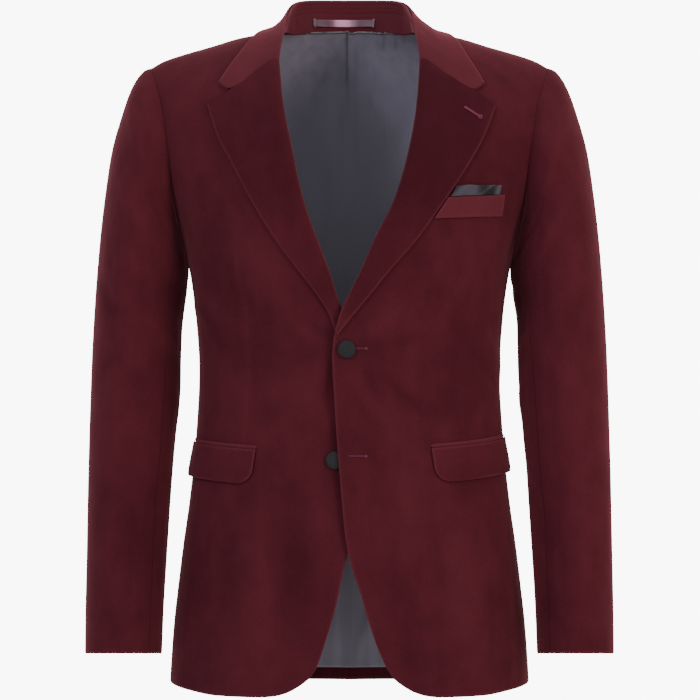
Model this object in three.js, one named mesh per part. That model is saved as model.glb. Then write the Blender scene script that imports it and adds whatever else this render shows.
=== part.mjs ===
// A single-breasted velvet blazer with notch lapels, filled out as worn and hollow inside.
// Sizes are in millimetres. +X is the wearer's left, -Y the front and +Z up.
// The origin lies on the centre plane between the two neck points of the shoulder seams.
import * as THREE from 'three';

// Cloth thicknesses and the clearances between pieces
const VELVET = 2;
const LAPEL_CLOTH = 2.4;
const LINING = 1.2;
const SEAM_GAP = 0.3;
const SEAM = SEAM_GAP / 2;
const GORGE_GAP = 0.8;
const REST_GAP = 0.9;
const LINING_GAP = 1;

// Body form
const SECTION_POWER = 2.4;
const SHOULDER_ROUND = 190;
const ARMHOLE_TOP = -48.6;
const UNDERARM = -240;
const BREAK_HEIGHT = -346;
const BACK_NECK_HEIGHT = -4;
const NECK_POINT = { x: 78, z: -3 };
const RIDGE_ROOM = 0.05;
const HEM_LEVEL = -738;
const FRONT_CORNER = -718.3;
const SKIRT_TOP = -500;
const SKIRT_FULL = -725;
const DRAG_START = 18;

// Fastening
const BUTTON_DIAMETER = 20;
const BUTTON_THICKNESS = 3.4;
const BUTTON_TOP = { x: -3, z: -362.5 };
const BUTTON_LOW = { x: -16, z: -484 };
const LAP_OVER = 4.7;
const LAP_UNDER = 1.7;
const LAP_OUTER = 74;
const LAP_INNER = 26;
const LAP_TOP = -205;
const LAP_FULL = -285;
const LAP_LOW = -520;
const LAP_HEM = -640;

// Sleeve seams, in degrees round the sleeve from its outer line over the front
const FOREARM_SEAM = 135;
const HINDARM_SEAM = 240;
const SLEEVE_HEAD_ROWS = 4;
const SLEEVE_ROWS = [0, 0.5, 1, 1.6, 2.3, 3, 4, 5, 6, 7, 8, 9, 10, 11, 12, 13, 14];

// Body seams: degrees round the armhole to the side seams, and round the body at the hem
const ARMHOLE_STEP = 15;
const SIDE_SEAM_TURN = 150;
const FORE_SEAM_AT_HEM = 70;
const HIND_SEAM_AT_HEM = 115;
const SEAM_ROWS = 12;
const SHOULDER_COLUMNS = 9;

// Lapels and collar. The reaches are distances from the roll line; the shares run up the lapel.
const ROLL_DRAWBACK = 4.4;
const ROLL_FADE = 22;
const ROLL_TOP = -30;
const LAPEL_ROLL = 3.4;
const LAPEL_TURN_REACH = 4;
const LAPEL_ROLL_REACH = 8;
const LAPEL_FLAT_REACH = 48;
const LAPEL_ROLL_FADE = 10;
const LAPEL_OPEN_SHARE = 0.14;
const LAPEL_FULL_SHARE = 0.45;
const LAPEL_TIP_SHARE = 0.02;
const LAPEL_ROWS = 15;
const LAPEL_COLUMNS = [0, 0.04, 0.1, 0.2, 0.36, 0.54, 0.72, 0.86, 1];
const LEAF_COLUMNS = [0, 0.08, 0.22, 0.45, 0.64, 0.82, 1];
const LEAF_STATIONS = [0, 0.5, 1, 1.5, 2, 2.5, 3, 3.5, 4, 4.5, 5, 5.5, 6, 6.5, 7];
const STAND_STATIONS = [0, 0.5, 1, 1.5, 2, 2.5, 3, 3.5, 4, 4.5, 5];
const STAND_ROWS = [0, 0.33, 0.66, 1];
const STAND_INSET = 6;
const STAND_HOLLOW = 1;
const STAND_DROP = 1;
const LEAF_LIFT = { from: -0.04, to: 0.075 };
const LEAF_HOLD = { from: 0.45, to: 0.95 };
const LOOP = { from: -42, to: 29, top: 0.585, bottom: 0.8, gap: 0.7, cloth: 1.2 };
const LOOP_STEPS = 10;

// Distances of the back's neckline columns from the centre, and how far the lining stays inside
const NECKLINE = [0, 20, 40, 60];
const FULL_SIZE = { turn: 0, drop: 0, neck: 0 };

// Lining
const LINING_NECKLINE = [0, 3, 6.5, 13, 33, 56];
const LINING_SHRINK = { turn: 3, drop: 7, neck: 1.5 };
const LINING_NECK_GAP = 1.4;
const LINING_NECK_TOP = -15;
const LINING_NECK_LOW = -70;
const LINING_RISE = 14;
const LINING_COLUMNS = 5;
const PLEAT_HEIGHT = 3.2;
const PLEAT_SPREAD = 3.4;

// Pockets
const FLAP_DEPTH = 38;
const FLAP_CORNER = 13;
const FLAP_LENGTH = 135;
const FLAP_CLOTH = 2.2;
const FLAP_REAR = THREE.MathUtils.degToRad(87);
const FLAP_SLANT = THREE.MathUtils.degToRad(1.6);
const FLAP_FLARE = 3.2;
const FLAP_COLUMNS = 12;
const FLAP_ROWS = [0, 0.33, 0.66, 1];
const FLAPS = {
  left: { frontX: 89, foreTop: -471, hindTop: -460 },
  right: { frontX: 102, foreTop: -472.5, hindTop: -465 },
};
const JET_HEIGHT = 4.6;
const JET_GAP = 0.6;
const JET_CLOTH = 1.5;
const WELT_CLOTH = 2;
const WELT = {
  inTopX: 107, inTopZ: -197.7, outTopX: 170, outTopZ: -193.6,
  inLowX: 91.5, inLowZ: -221, outLowX: 167, outLowZ: -217,
};
const SQUARE_CLOTH = 3;
const SQUARE = {
  inTopX: 116, inTopZ: -185.5, outTopX: 164, outTopZ: -183.5,
  inLowX: 109, inLowZ: -197, outLowX: 163.5, outLowZ: -193.6,
};

// Half width and depths of the body at each height. Above the underarm the width only shapes
// the front and back panels.
const BODY_SECTIONS = [
  { z: -760, width: 202, front: 118, back: 128 },
  { z: -711, width: 199.4, front: 118, back: 131 },
  { z: -666, width: 196, front: 118, back: 131 },
  { z: -622, width: 191, front: 117, back: 129 },
  { z: -577, width: 185.4, front: 116, back: 125 },
  { z: -532, width: 179, front: 115, back: 119 },
  { z: -465, width: 172, front: 114, back: 109 },
  { z: -386, width: 168, front: 117, back: 104 },
  { z: -330, width: 171.4, front: 122, back: 108 },
  { z: -286, width: 177, front: 126, back: 114 },
  { z: -240, width: 188, front: 128, back: 121 },
  { z: -180, width: 212, front: 126, back: 126 },
  { z: -120, width: 229, front: 122, back: 128 },
  { z: -48, width: 240, front: 120, back: 128 },
  { z: 40, width: 246, front: 118, back: 126 },
];

// Height of the shoulder seam at each distance from the centre
const SHOULDER_LINE = [
  { x: 0, z: 21 },
  { x: 78, z: -3 },
  { x: 104, z: -11 },
  { x: 125, z: -15.5 },
  { x: 153, z: -24 },
  { x: 193, z: -35.6 },
  { x: 209, z: -41.4 },
  { x: 222, z: -48.6 },
  { x: 245, z: -58 },
];

// Distance of the armhole seam from the centre at each height
const ARMHOLE_EDGE = [
  { z: -240, x: 188 },
  { z: -206, x: 193 },
  { z: -151, x: 199 },
  { z: -125, x: 203 },
  { z: -90, x: 209 },
  { z: -78, x: 212.5 },
  { z: -48.6, x: 222 },
];

// Free edge of each front from the hem curve up through the break and the roll line to the neck
// point. x is the distance from the centre towards that front's own side.
const LEFT_FRONT_EDGE = [
  { z: -718.3, x: 48.4 },
  { z: -703.6, x: 39 },
  { z: -682, x: 29.7 },
  { z: -654, x: 20.1 },
  { z: -622, x: 10.8 },
  { z: -592.6, x: 1 },
  { z: -560, x: -5 },
  { z: -500, x: -10.5 },
  { z: -458, x: -13.8 },
  { z: -406, x: -17 },
  { z: -370, x: -18.8 },
  { z: -346, x: -16.9 },
  { z: -319.5, x: -8.6 },
  { z: -277, x: 11.4 },
  { z: -244.5, x: 25.5 },
  { z: -195.6, x: 49.4 },
  { z: -135, x: 65.9 },
  { z: -90.7, x: 73 },
  { z: -44.4, x: 76.5 },
  { z: -15, x: 78 },
  { z: -3, x: 78 },
];
const RIGHT_FRONT_EDGE = [
  { z: -718.3, x: 44.5 },
  { z: -706.9, x: 36.5 },
  { z: -675, x: 25.3 },
  { z: -645.7, x: 16.3 },
  { z: -592.6, x: 4.6 },
  { z: -560, x: -4 },
  { z: -500, x: -12 },
  { z: -458, x: -15.5 },
  { z: -406, x: -18 },
  { z: -380, x: -17 },
  { z: -346, x: -6 },
  { z: -319.5, x: 8.6 },
  { z: -277, x: 21.2 },
  { z: -212, x: 46.2 },
  { z: -135, x: 62.8 },
  { z: -90.7, x: 72 },
  { z: -44.4, x: 76.5 },
  { z: -15, x: 78 },
  { z: -3, x: 78 },
];

// Hem height at each distance from the centre, in front and behind
const HEM_FRONT = [
  { x: 44, z: -718.3 },
  { x: 58, z: -729.5 },
  { x: 72, z: -737.5 },
  { x: 86, z: -741.5 },
  { x: 100, z: -742.8 },
  { x: 144, z: -742.5 },
  { x: 175, z: -739.5 },
  { x: 202, z: -734 },
];
const RIGHT_HEM_SHIFT = 4;
const HEM_BACK = [
  { x: 0, z: -745 },
  { x: 120, z: -743 },
  { x: 175, z: -738.5 },
  { x: 202, z: -734 },
];

// Each lapel from the break up to the gorge: its roll line and its outer edge
const LEFT_LAPEL = [
  { v: 0, rollX: -15.5, rollZ: -342, edgeX: -12.6, edgeZ: -347 },
  { v: 0.06, rollX: -8.8, rollZ: -319.5, edgeX: 3, edgeZ: -327 },
  { v: 0.14, rollX: 0.4, rollZ: -300, edgeX: 22, edgeZ: -304 },
  { v: 0.24, rollX: 11.4, rollZ: -277, edgeX: 42, edgeZ: -279 },
  { v: 0.36, rollX: 25.5, rollZ: -244.5, edgeX: 70, edgeZ: -247.5 },
  { v: 0.52, rollX: 49.4, rollZ: -195.6, edgeX: 100, edgeZ: -206 },
  { v: 0.7, rollX: 65.9, rollZ: -135, edgeX: 130.5, edgeZ: -160 },
  { v: 0.86, rollX: 73, rollZ: -90.7, edgeX: 147, edgeZ: -130 },
  { v: 1, rollX: 76.5, rollZ: -46, edgeX: 160, edgeZ: -97 },
];
const RIGHT_LAPEL = [
  { v: 0, rollX: -5, rollZ: -343, edgeX: 15, edgeZ: -346 },
  { v: 0.06, rollX: 4, rollZ: -328, edgeX: 21.5, edgeZ: -327 },
  { v: 0.14, rollX: 10.5, rollZ: -313, edgeX: 34, edgeZ: -306 },
  { v: 0.24, rollX: 18.5, rollZ: -286, edgeX: 52, edgeZ: -282 },
  { v: 0.36, rollX: 31, rollZ: -252, edgeX: 76, edgeZ: -250 },
  { v: 0.52, rollX: 49, rollZ: -201, edgeX: 102, edgeZ: -209 },
  { v: 0.7, rollX: 63, rollZ: -138, edgeX: 129, edgeZ: -159 },
  { v: 0.86, rollX: 72, rollZ: -90.7, edgeX: 144, edgeZ: -130 },
  { v: 1, rollX: 76.5, rollZ: -46, edgeX: 156, edgeZ: -94 },
];
const NOTCH = { along: 0.72, fade: 5 };

// Collar at stations from the centre back (0) over the shoulder (4) to the gorge (7)
const COLLAR_FOLD = [
  { at: 0, x: 0, y: 72, z: 33.5 },
  { at: 1, x: 30, y: 69, z: 33.3 },
  { at: 2, x: 52, y: 55, z: 31.5 },
  { at: 3, x: 64, y: 33, z: 25.5 },
  { at: 4, x: 69, y: 7, z: 15.5 },
  { at: 5, x: 71.5, y: -20, z: 3 },
  { at: 6, x: 74, y: -50, z: -17 },
  { at: 7, x: 76.5, y: -73.5, z: -44 },
];
const COLLAR_MIDDLE = [
  { at: 0, x: 0, y: 80, z: 10 },
  { at: 1, x: 34, y: 77, z: 10 },
  { at: 2, x: 64, y: 60, z: 9 },
  { at: 3, x: 81, y: 33, z: 6.5 },
  { at: 4, x: 85, y: 4, z: 3 },
  { at: 5, x: 91, y: -26, z: -7 },
  { at: 6, x: 98, y: -58, z: -31 },
  { at: 7, x: 106, y: -80, z: -60.4 },
];
const COLLAR_NOTCH = [
  { at: 0, x: 0, y: 79, z: -8 },
  { at: 1, x: 36, y: 75, z: -8 },
  { at: 2, x: 73, y: 58, z: -7.5 },
  { at: 3, x: 95, y: 31, z: -6 },
  { at: 4, x: 101, y: 2, z: -6 },
  { at: 5, x: 110, y: -29, z: -15 },
  { at: 6, x: 121, y: -62, z: -43 },
  { at: 7, x: 136, y: -81, z: -77.2 },
];
const COLLAR_EDGE = [
  { at: 0, x: 0, y: 77, z: -16 },
  { at: 1, x: 37, y: 73, z: -16 },
  { at: 2, x: 76, y: 56, z: -15 },
  { at: 3, x: 101, y: 29, z: -12.5 },
  { at: 4, x: 108, y: 2, z: -9.5 },
  { at: 5, x: 118, y: -26, z: -16 },
  { at: 6, x: 131, y: -54, z: -38 },
  { at: 7, x: 149, y: -71, z: -69.5 },
];
const COLLAR_ROWS = [
  { across: 0, line: COLLAR_FOLD },
  { across: 0.45, line: COLLAR_MIDDLE },
  { across: 0.82, line: COLLAR_NOTCH },
  { across: 1, line: COLLAR_EDGE },
];
// How much nearer the centre the outer edge of the leaf lies on the wearer's right
const LEAF_RIGHT_SHIFT = [
  { at: 0, shift: 0 },
  { at: 2, shift: 5 },
  { at: 4, shift: 11 },
  { at: 5, shift: 11 },
  { at: 6, shift: 8 },
  { at: 7, shift: 5 },
];
const NECK_SEAM = [
  { at: 0, x: 0, y: 63, z: -3 },
  { at: 1, x: 27, y: 57.5, z: -3 },
  { at: 2, x: 50, y: 41, z: -2.6 },
  { at: 3, x: 66, y: 22, z: -2 },
  { at: 4, x: 74.5, y: 2, z: -1 },
  { at: 5, x: 75.3, y: -23, z: -6 },
  { at: 6, x: 75.8, y: -52, z: -23 },
];

// Sleeve sections from the armhole (0) to the cuff (14): the outer line, the inner line and how
// far each reaches forward and back
const SLEEVE_SECTIONS = [
  { at: 0, outX: 222, outZ: -48.6, inX: 188, inZ: -240, fore: -58, hind: 60 },
  { at: 1, outX: 228.5, outZ: -50.5, inX: 187.6, inZ: -244, fore: -63, hind: 65 },
  { at: 2, outX: 237, outZ: -59.5, inX: 186.9, inZ: -248.5, fore: -68, hind: 70 },
  { at: 3, outX: 246.5, outZ: -78, inX: 185.9, inZ: -254, fore: -72, hind: 73 },
  { at: 4, outX: 256, outZ: -106, inX: 184.6, inZ: -262, fore: -75, hind: 75 },
  { at: 5, outX: 264.5, outZ: -141, inX: 183.5, inZ: -273, fore: -77, hind: 74 },
  { at: 6, outX: 271.5, outZ: -188, inX: 183, inZ: -288, fore: -78, hind: 71 },
  { at: 7, outX: 277.5, outZ: -243, inX: 184, inZ: -312, fore: -78, hind: 66 },
  { at: 8, outX: 282.5, outZ: -308, inX: 186.6, inZ: -347, fore: -77, hind: 58 },
  { at: 9, outX: 286, outZ: -373, inX: 190, inZ: -393, fore: -77, hind: 48 },
  { at: 10, outX: 288, outZ: -440, inX: 193.6, inZ: -448, fore: -78, hind: 37 },
  { at: 11, outX: 290, outZ: -516, inX: 198, inZ: -518, fore: -81, hind: 25 },
  { at: 12, outX: 291.6, outZ: -594, inX: 202.6, inZ: -594, fore: -86, hind: 13 },
  { at: 13, outX: 292.6, outZ: -656, inX: 206, inZ: -656, fore: -89, hind: 5 },
  { at: 14, outX: 292.8, outZ: -702, inX: 207.6, inZ: -702, fore: -91, hind: 0 },
];

// Drag folds that leave the fastened button over the fronts: direction in degrees from the
// wearer's left, height of the ridge, how far out it is highest and how far it reaches
const DRAG_FOLDS = [
  { turn: 38, height: 2.6, peak: 62, reach: 150, spread: 13 },
  { turn: 12, height: 1.8, peak: 70, reach: 150, spread: 11 },
  { turn: -30, height: 2.2, peak: 66, reach: 150, spread: 14 },
  { turn: 146, height: 2.8, peak: 60, reach: 150, spread: 13 },
  { turn: 172, height: 1.7, peak: 72, reach: 150, spread: 11 },
  { turn: 212, height: 2.3, peak: 70, reach: 155, spread: 15 },
];
const SKIRT_WAVES = [
  { turn: 33, height: 2.2, spread: 9 },
  { turn: 58, height: -2.4, spread: 8 },
  { turn: 128, height: 2.6, spread: 10 },
  { turn: 158, height: -2.2, spread: 9 },
];
const BACK_FOLDS = [
  { x: 62, z: -395, lean: 26, height: 2.4, reach: 85, spread: 12 },
  { x: 96, z: -330, lean: -30, height: 2.2, reach: 80, spread: 12 },
  { x: 118, z: -150, lean: 68, height: 2.4, reach: 80, spread: 13 },
];

// Soft folds across each sleeve: place along it, middle and width of the fold in degrees
const SLEEVE_FOLDS = [
  { at: 3.4, turn: 60, slope: 0.014, height: 2.2, spread: 0.55, wide: 60 },
  { at: 7.2, turn: 150, slope: 0.012, height: -2.4, spread: 0.6, wide: 70 },
  { at: 8.7, turn: 100, slope: -0.013, height: 2.2, spread: 0.5, wide: 75 },
  { at: 9.8, turn: 230, slope: 0.012, height: 2.8, spread: 0.5, wide: 80 },
  { at: 11.6, turn: 120, slope: 0.012, height: -2, spread: 0.6, wide: 70 },
  { at: 12.8, turn: 290, slope: -0.012, height: 2, spread: 0.5, wide: 80 },
];

const SLEEVE_FOLD_TURN = 8;
const CUFF_CALM = 12.5;

// Half profile of a button as shares of its radius and thickness
const BUTTON_PROFILE = [
  { out: 0, up: 0 },
  { out: 0.8, up: 0 },
  { out: 1, up: 0.35 },
  { out: 1, up: 0.6 },
  { out: 0.86, up: 0.88 },
  { out: 0.5, up: 1 },
  { out: 0, up: 1 },
];
const BUTTON_SIDES = 24;

// Colours
const WINE = { color: 0x4a1820, roughness: 0.85 };
const WINE_LIGHT = { color: 0x5e262e, roughness: 0.85 };
const SATIN = { color: 0x4a484f, roughness: 0.45 };
const CHARCOAL = { color: 0x2c2d31, roughness: 0.6 };
const LILAC = { color: 0x9a7488, roughness: 0.35 };

const radians = THREE.MathUtils.degToRad;
const { clamp, lerp } = THREE.MathUtils;

// Smooth curve through one column of a table, without overshoot between its rows
function columnCurve(table, key, name) {
  const at = table.map((row) => row[key]);
  const value = table.map((row) => row[name]);
  const last = at.length - 1;
  const rise = at.slice(1).map((a, i) => (value[i + 1] - value[i]) / (a - at[i]));
  const slope = at.map((_, i) => {
    if (i === 0) return rise[0];
    if (i === last) return rise[last - 1];
    const product = rise[i - 1] * rise[i];
    return product > 0 ? (2 * product) / (rise[i - 1] + rise[i]) : 0;
  });
  return (wanted) => {
    const place = clamp(wanted, at[0], at[last]);
    let i = 0;
    while (i < last - 1 && place > at[i + 1]) i += 1;
    const span = at[i + 1] - at[i];
    const t = (place - at[i]) / span;
    const fall = 1 - t;
    return fall * fall * (1 + 2 * t) * value[i] + t * t * (3 - 2 * t) * value[i + 1]
      + span * t * fall * (fall * slope[i] - t * slope[i + 1]);
  };
}

// 0 at one value and 1 at the other, eased between them
function ease(from, to, value) {
  const t = clamp((value - from) / (to - from), 0, 1);
  return t * t * (3 - 2 * t);
}

function bump(middle, spread, value) {
  return Math.exp(-(((value - middle) / spread) ** 2));
}

const bodyWidth = columnCurve(BODY_SECTIONS, 'z', 'width');
const bodyFront = columnCurve(BODY_SECTIONS, 'z', 'front');
const bodyBack = columnCurve(BODY_SECTIONS, 'z', 'back');
const shoulderHeight = columnCurve(SHOULDER_LINE, 'x', 'z');
const armholeX = columnCurve(ARMHOLE_EDGE, 'z', 'x');
const hemFront = columnCurve(HEM_FRONT, 'x', 'z');
const hemBack = columnCurve(HEM_BACK, 'x', 'z');
const SIDES = {
  left: {
    sign: 1,
    edge: columnCurve(LEFT_FRONT_EDGE, 'z', 'x'),
    lapel: LEFT_LAPEL,
    notchRise: 3.2,
    flap: FLAPS.left,
  },
  right: {
    sign: -1,
    edge: columnCurve(RIGHT_FRONT_EDGE, 'z', 'x'),
    lapel: RIGHT_LAPEL,
    notchRise: -1.6,
    flap: FLAPS.right,
  },
};

// The functions below work on the wearer's left. The right side is their mirror image, and only
// folds and the overlap of the fronts know which side they are on.

// Point of the smooth body at an angle round it from the front and at a height
function bodyForm(angle, z) {
  const power = 2 / SECTION_POWER;
  const across = Math.sin(angle);
  const along = Math.cos(angle);
  const x = Math.sign(across) * bodyWidth(z) * Math.abs(across) ** power;
  const depth = along > 0 ? bodyFront(z) : bodyBack(z);
  const drop = clamp((shoulderHeight(Math.abs(x)) - z) / SHOULDER_ROUND, 0, 1);
  const round = Math.sqrt(1 - (1 - drop) ** 2);
  return new THREE.Vector3(x, -Math.sign(along) * depth * round * Math.abs(along) ** power, z);
}

function bodyNormal(angle, z) {
  const { x } = bodyForm(angle, z);
  const room = shoulderHeight(Math.abs(x)) - z;
  if (room < RIDGE_ROOM) {
    const slope = shoulderHeight(Math.abs(x) + 1) - shoulderHeight(Math.abs(x) - 1);
    return new THREE.Vector3(-Math.sign(x) * slope / 2, 0, 1).normalize();
  }
  const step = Math.min(1, room * 0.4);
  const turn = radians(0.25);
  const across = bodyForm(angle + turn, z).sub(bodyForm(angle - turn, z));
  const up = bodyForm(angle, z + step).sub(bodyForm(angle, z - step));
  return across.cross(up).normalize();
}

function angleAt(x, z) {
  const share = clamp(Math.abs(x) / bodyWidth(z), 0, 1);
  return Math.sign(x) * Math.asin(share ** (SECTION_POWER / 2));
}

// Large folds, as a distance moved out of the smooth body
function bodyFold(side, angle, z) {
  const spot = bodyForm(angle, z);
  const degrees = THREE.MathUtils.radToDeg(Math.abs(angle));
  const skirt = ease(SKIRT_TOP, SKIRT_FULL, z);
  let out = 0;
  SKIRT_WAVES.forEach((wave) => {
    out += wave.height * skirt * bump(wave.turn, wave.spread, degrees);
  });
  if (Math.cos(angle) > 0) {
    const dx = side.sign * spot.x - BUTTON_TOP.x;
    const dz = z - BUTTON_TOP.z;
    DRAG_FOLDS.forEach((fold) => {
      const turn = radians(fold.turn);
      const along = dx * Math.cos(turn) + dz * Math.sin(turn);
      const aside = dz * Math.cos(turn) - dx * Math.sin(turn);
      const strength = ease(DRAG_START, fold.peak, along) * ease(fold.reach, fold.peak, along);
      out += fold.height * strength * bump(0, fold.spread, aside);
    });
  } else {
    BACK_FOLDS.forEach((fold) => {
      const turn = radians(fold.lean);
      const dx = spot.x - fold.x;
      const dz = z - fold.z;
      const along = dx * Math.cos(turn) + dz * Math.sin(turn);
      const aside = dz * Math.cos(turn) - dx * Math.sin(turn);
      out += fold.height * bump(0, fold.reach / 2, along) * bump(0, fold.spread, aside);
    });
  }
  return out;
}

// The left front lies over the right one round the buttons
function frontLap(side, angle, z) {
  if (Math.cos(angle) < 0) return 0;
  const { x } = bodyForm(angle, z);
  const near = ease(LAP_OUTER, LAP_INNER, x) * ease(LAP_TOP, LAP_FULL, z);
  if (side.sign < 0) return -LAP_UNDER * near;
  return lerp(LAP_OVER, LAP_UNDER, ease(LAP_LOW, LAP_HEM, z)) * near;
}

function bodyPoint(side, angle, z, lift = 0) {
  const normal = bodyNormal(angle, z);
  const out = bodyFold(side, angle, z) + frontLap(side, angle, z) + lift;
  return { point: bodyForm(angle, z).addScaledVector(normal, out), normal };
}

function frontPoint(side, x, z, lift) {
  return bodyPoint(side, angleAt(x, z), z, lift);
}

// Armhole seam at an angle round it, from the shoulder tip down the front
function armholeSpot(turn) {
  const half = (ARMHOLE_TOP - UNDERARM) / 2;
  const z = UNDERARM + half * (1 + Math.cos(radians(turn)));
  const angle = angleAt(armholeX(z), z);
  return { angle: turn > 180 ? Math.PI - angle : angle, z };
}

function armholeSpots(from, to) {
  const count = Math.round(Math.abs(to - from) / ARMHOLE_STEP);
  return Array.from({ length: count + 1 }, (_, i) => armholeSpot(lerp(from, to, i / count)));
}

// Place of the shoulder seam at an angle
function shoulderSpot(angle) {
  let z = ARMHOLE_TOP / 2;
  for (let pass = 0; pass < 8; pass += 1) z = shoulderHeight(Math.abs(bodyForm(angle, z).x));
  return { angle, z };
}

function hemHeight(angle, side = SIDES.left) {
  const x = Math.abs(bodyForm(angle, HEM_LEVEL).x);
  const shift = side.sign < 0 ? RIGHT_HEM_SHIFT * ease(130, 60, x) : 0;
  return Math.cos(angle) > 0 ? hemFront(x + shift) : hemBack(x);
}

// Rows of a side seam, below its armhole end
function seamSpots(from, hemAngle) {
  const hem = hemHeight(hemAngle);
  return Array.from({ length: SEAM_ROWS + 1 }, (_, i) => {
    const t = i / SEAM_ROWS;
    return { angle: lerp(from.angle, hemAngle, t), z: lerp(from.z, hem, t) };
  });
}

// Angles and heights inside a panel, blended from its top row, its two sides and its hem
function panelSpots({ top, left, right, hem }) {
  const rows = left.length - 1;
  const turn = top[top.length - 1].angle - top[0].angle;
  const low = { left: left[rows], right: right[rows] };
  return left.map((start, i) => top.map((above) => {
    const u = (above.angle - top[0].angle) / turn;
    const v = i / rows;
    const hemAngle = lerp(low.left.angle, low.right.angle, u);
    const topMove = above.z - lerp(left[0].z, right[0].z, u);
    const hemMove = hem(hemAngle) - lerp(low.left.z, low.right.z, u);
    return {
      angle: lerp(start.angle, right[i].angle, u),
      z: lerp(start.z, right[i].z, u) + (1 - v) * topMove + v * hemMove,
    };
  }));
}

// Normals of a grid of points from their neighbours; the columns may close into a ring
function withNormals(points, ring, facing) {
  const rows = points.length;
  const columns = points[0].length;
  return points.map((row, i) => row.map((point, j) => {
    const before = ring ? row[(j + columns - 1) % columns] : row[Math.max(j - 1, 0)];
    const after = ring ? row[(j + 1) % columns] : row[Math.min(j + 1, columns - 1)];
    const across = after.clone().sub(before);
    const down = points[Math.min(i + 1, rows - 1)][j].clone().sub(points[Math.max(i - 1, 0)][j]);
    return { point, normal: across.cross(down).normalize().multiplyScalar(facing) };
  }));
}

// Moves the named borders of a grid in by half a seam gap
function insetSeams(grid, seams) {
  const rows = grid.length - 1;
  const columns = grid[0].length - 1;
  const step = (from, to, gap) => to.point.clone().sub(from.point).setLength(gap);
  return grid.map((row, i) => row.map((spot, j) => {
    const point = spot.point.clone();
    if (i === 0 && seams.top) point.add(step(spot, grid[1][j], seams.top));
    if (i === rows && seams.bottom) point.add(step(spot, grid[rows - 1][j], seams.bottom));
    if (j === 0 && seams.left) point.add(step(spot, row[1], seams.left));
    if (j === columns && seams.right) point.add(step(spot, row[columns - 1], seams.right));
    return { point, normal: spot.normal };
  }));
}

// Closed wall of cloth behind a grid of points, mirrored for the right side
function wallMesh(name, side, grid, thickness, look) {
  const columns = grid[0].length;
  const flip = new THREE.Vector3(side.sign, 1, 1);
  const spots = grid.flat();
  const face = spots.map(({ point }) => point.clone().multiply(flip));
  const back = spots.map(({ point, normal }) => (
    point.clone().addScaledVector(normal, -thickness).multiply(flip)
  ));
  const count = face.length;
  const at = (i, j) => i * columns + j;
  const faces = [];
  const quad = (a, b, c, d) => faces.push([a, b, c], [a, c, d]);
  for (let i = 0; i < grid.length - 1; i += 1) {
    for (let j = 0; j < columns - 1; j += 1) {
      const [a, b, c, d] = [at(i, j), at(i + 1, j), at(i + 1, j + 1), at(i, j + 1)];
      quad(a, b, c, d);
      quad(count + d, count + c, count + b, count + a);
    }
  }
  const last = grid.length - 1;
  const border = [
    ...grid.slice(0, last).map((_, i) => at(i, 0)),
    ...grid[0].slice(1).map((_, j) => at(last, j)),
    ...grid.slice(0, last).map((_, i) => at(last - i, columns - 1)),
    ...grid[0].slice(1).map((_, j) => at(0, columns - 1 - j)),
  ];
  border.forEach((a, i) => {
    const b = border[(i + 1) % border.length];
    quad(b, a, count + a, count + b);
  });
  const middle = at(Math.floor(last / 2), Math.floor((columns - 1) / 2));
  const out = spots[middle].normal.clone().multiply(flip);
  const down = face[middle + columns].clone().sub(face[middle]);
  const turned = down.cross(face[middle + 1].clone().sub(face[middle]));
  if (turned.dot(out) < 0) faces.forEach((corners) => corners.reverse());
  const geometry = new THREE.BufferGeometry().setFromPoints([...face, ...back]);
  geometry.setIndex(faces.flat());
  return namedMesh(name, geometry, look);
}

function namedMesh(name, geometry, look) {
  const mesh = new THREE.Mesh(geometry, new THREE.MeshStandardMaterial({ ...look, metalness: 0 }));
  mesh.name = name;
  return mesh;
}

function bodyGrid(side, spots, lift) {
  return spots.map((row) => row.map(({ angle, z }) => bodyPoint(side, angle, z, lift)));
}

// Heights of the rows beside the armhole, measured down from the shoulder seam
function armholeDrops() {
  return armholeSpots(0, SIDE_SEAM_TURN).map(({ z }) => ARMHOLE_TOP - z);
}

// Free edge of a front, drawn back where the lapel rolls over it
function frontEdgeSpot(side, z) {
  const open = ease(BREAK_HEIGHT, BREAK_HEIGHT + ROLL_FADE, z);
  const drawn = ROLL_DRAWBACK * open * ease(NECK_POINT.z, ROLL_TOP, z);
  return { angle: angleAt(side.edge(z) + drawn, z), z };
}

function frontPanel(name, side) {
  const armhole = armholeSpots(0, SIDE_SEAM_TURN);
  const seam = seamSpots(armhole[armhole.length - 1], radians(FORE_SEAM_AT_HEM));
  const right = [...armhole, ...seam.slice(1)];
  const upper = armholeDrops().map((drop) => NECK_POINT.z - drop);
  const start = upper[upper.length - 1];
  const lower = seam.slice(1).map((_, i) => lerp(start, FRONT_CORNER, (i + 1) / SEAM_ROWS));
  const left = [...upper, ...lower].map((z) => frontEdgeSpot(side, z));
  left[0] = { angle: angleAt(NECK_POINT.x, NECK_POINT.z), z: NECK_POINT.z };
  const top = Array.from({ length: SHOULDER_COLUMNS + 1 }, (_, j) => (
    shoulderSpot(lerp(left[0].angle, right[0].angle, j / SHOULDER_COLUMNS))
  ));
  top[0] = left[0];
  top[SHOULDER_COLUMNS] = right[0];
  const hem = (angle) => hemHeight(angle, side);
  const grid = bodyGrid(side, panelSpots({ top, left, right, hem }));
  return wallMesh(name, side, insetSeams(grid, { top: SEAM, right: SEAM }), VELVET, WINE);
}

function sidePanel(name, side) {
  const top = armholeSpots(SIDE_SEAM_TURN, 360 - SIDE_SEAM_TURN);
  const left = seamSpots(top[0], radians(FORE_SEAM_AT_HEM));
  const right = seamSpots(top[top.length - 1], radians(HIND_SEAM_AT_HEM));
  const grid = bodyGrid(side, panelSpots({ top, left, right, hem: hemHeight }));
  return wallMesh(name, side, insetSeams(grid, { top: SEAM, left: SEAM, right: SEAM }), VELVET, WINE);
}

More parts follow.
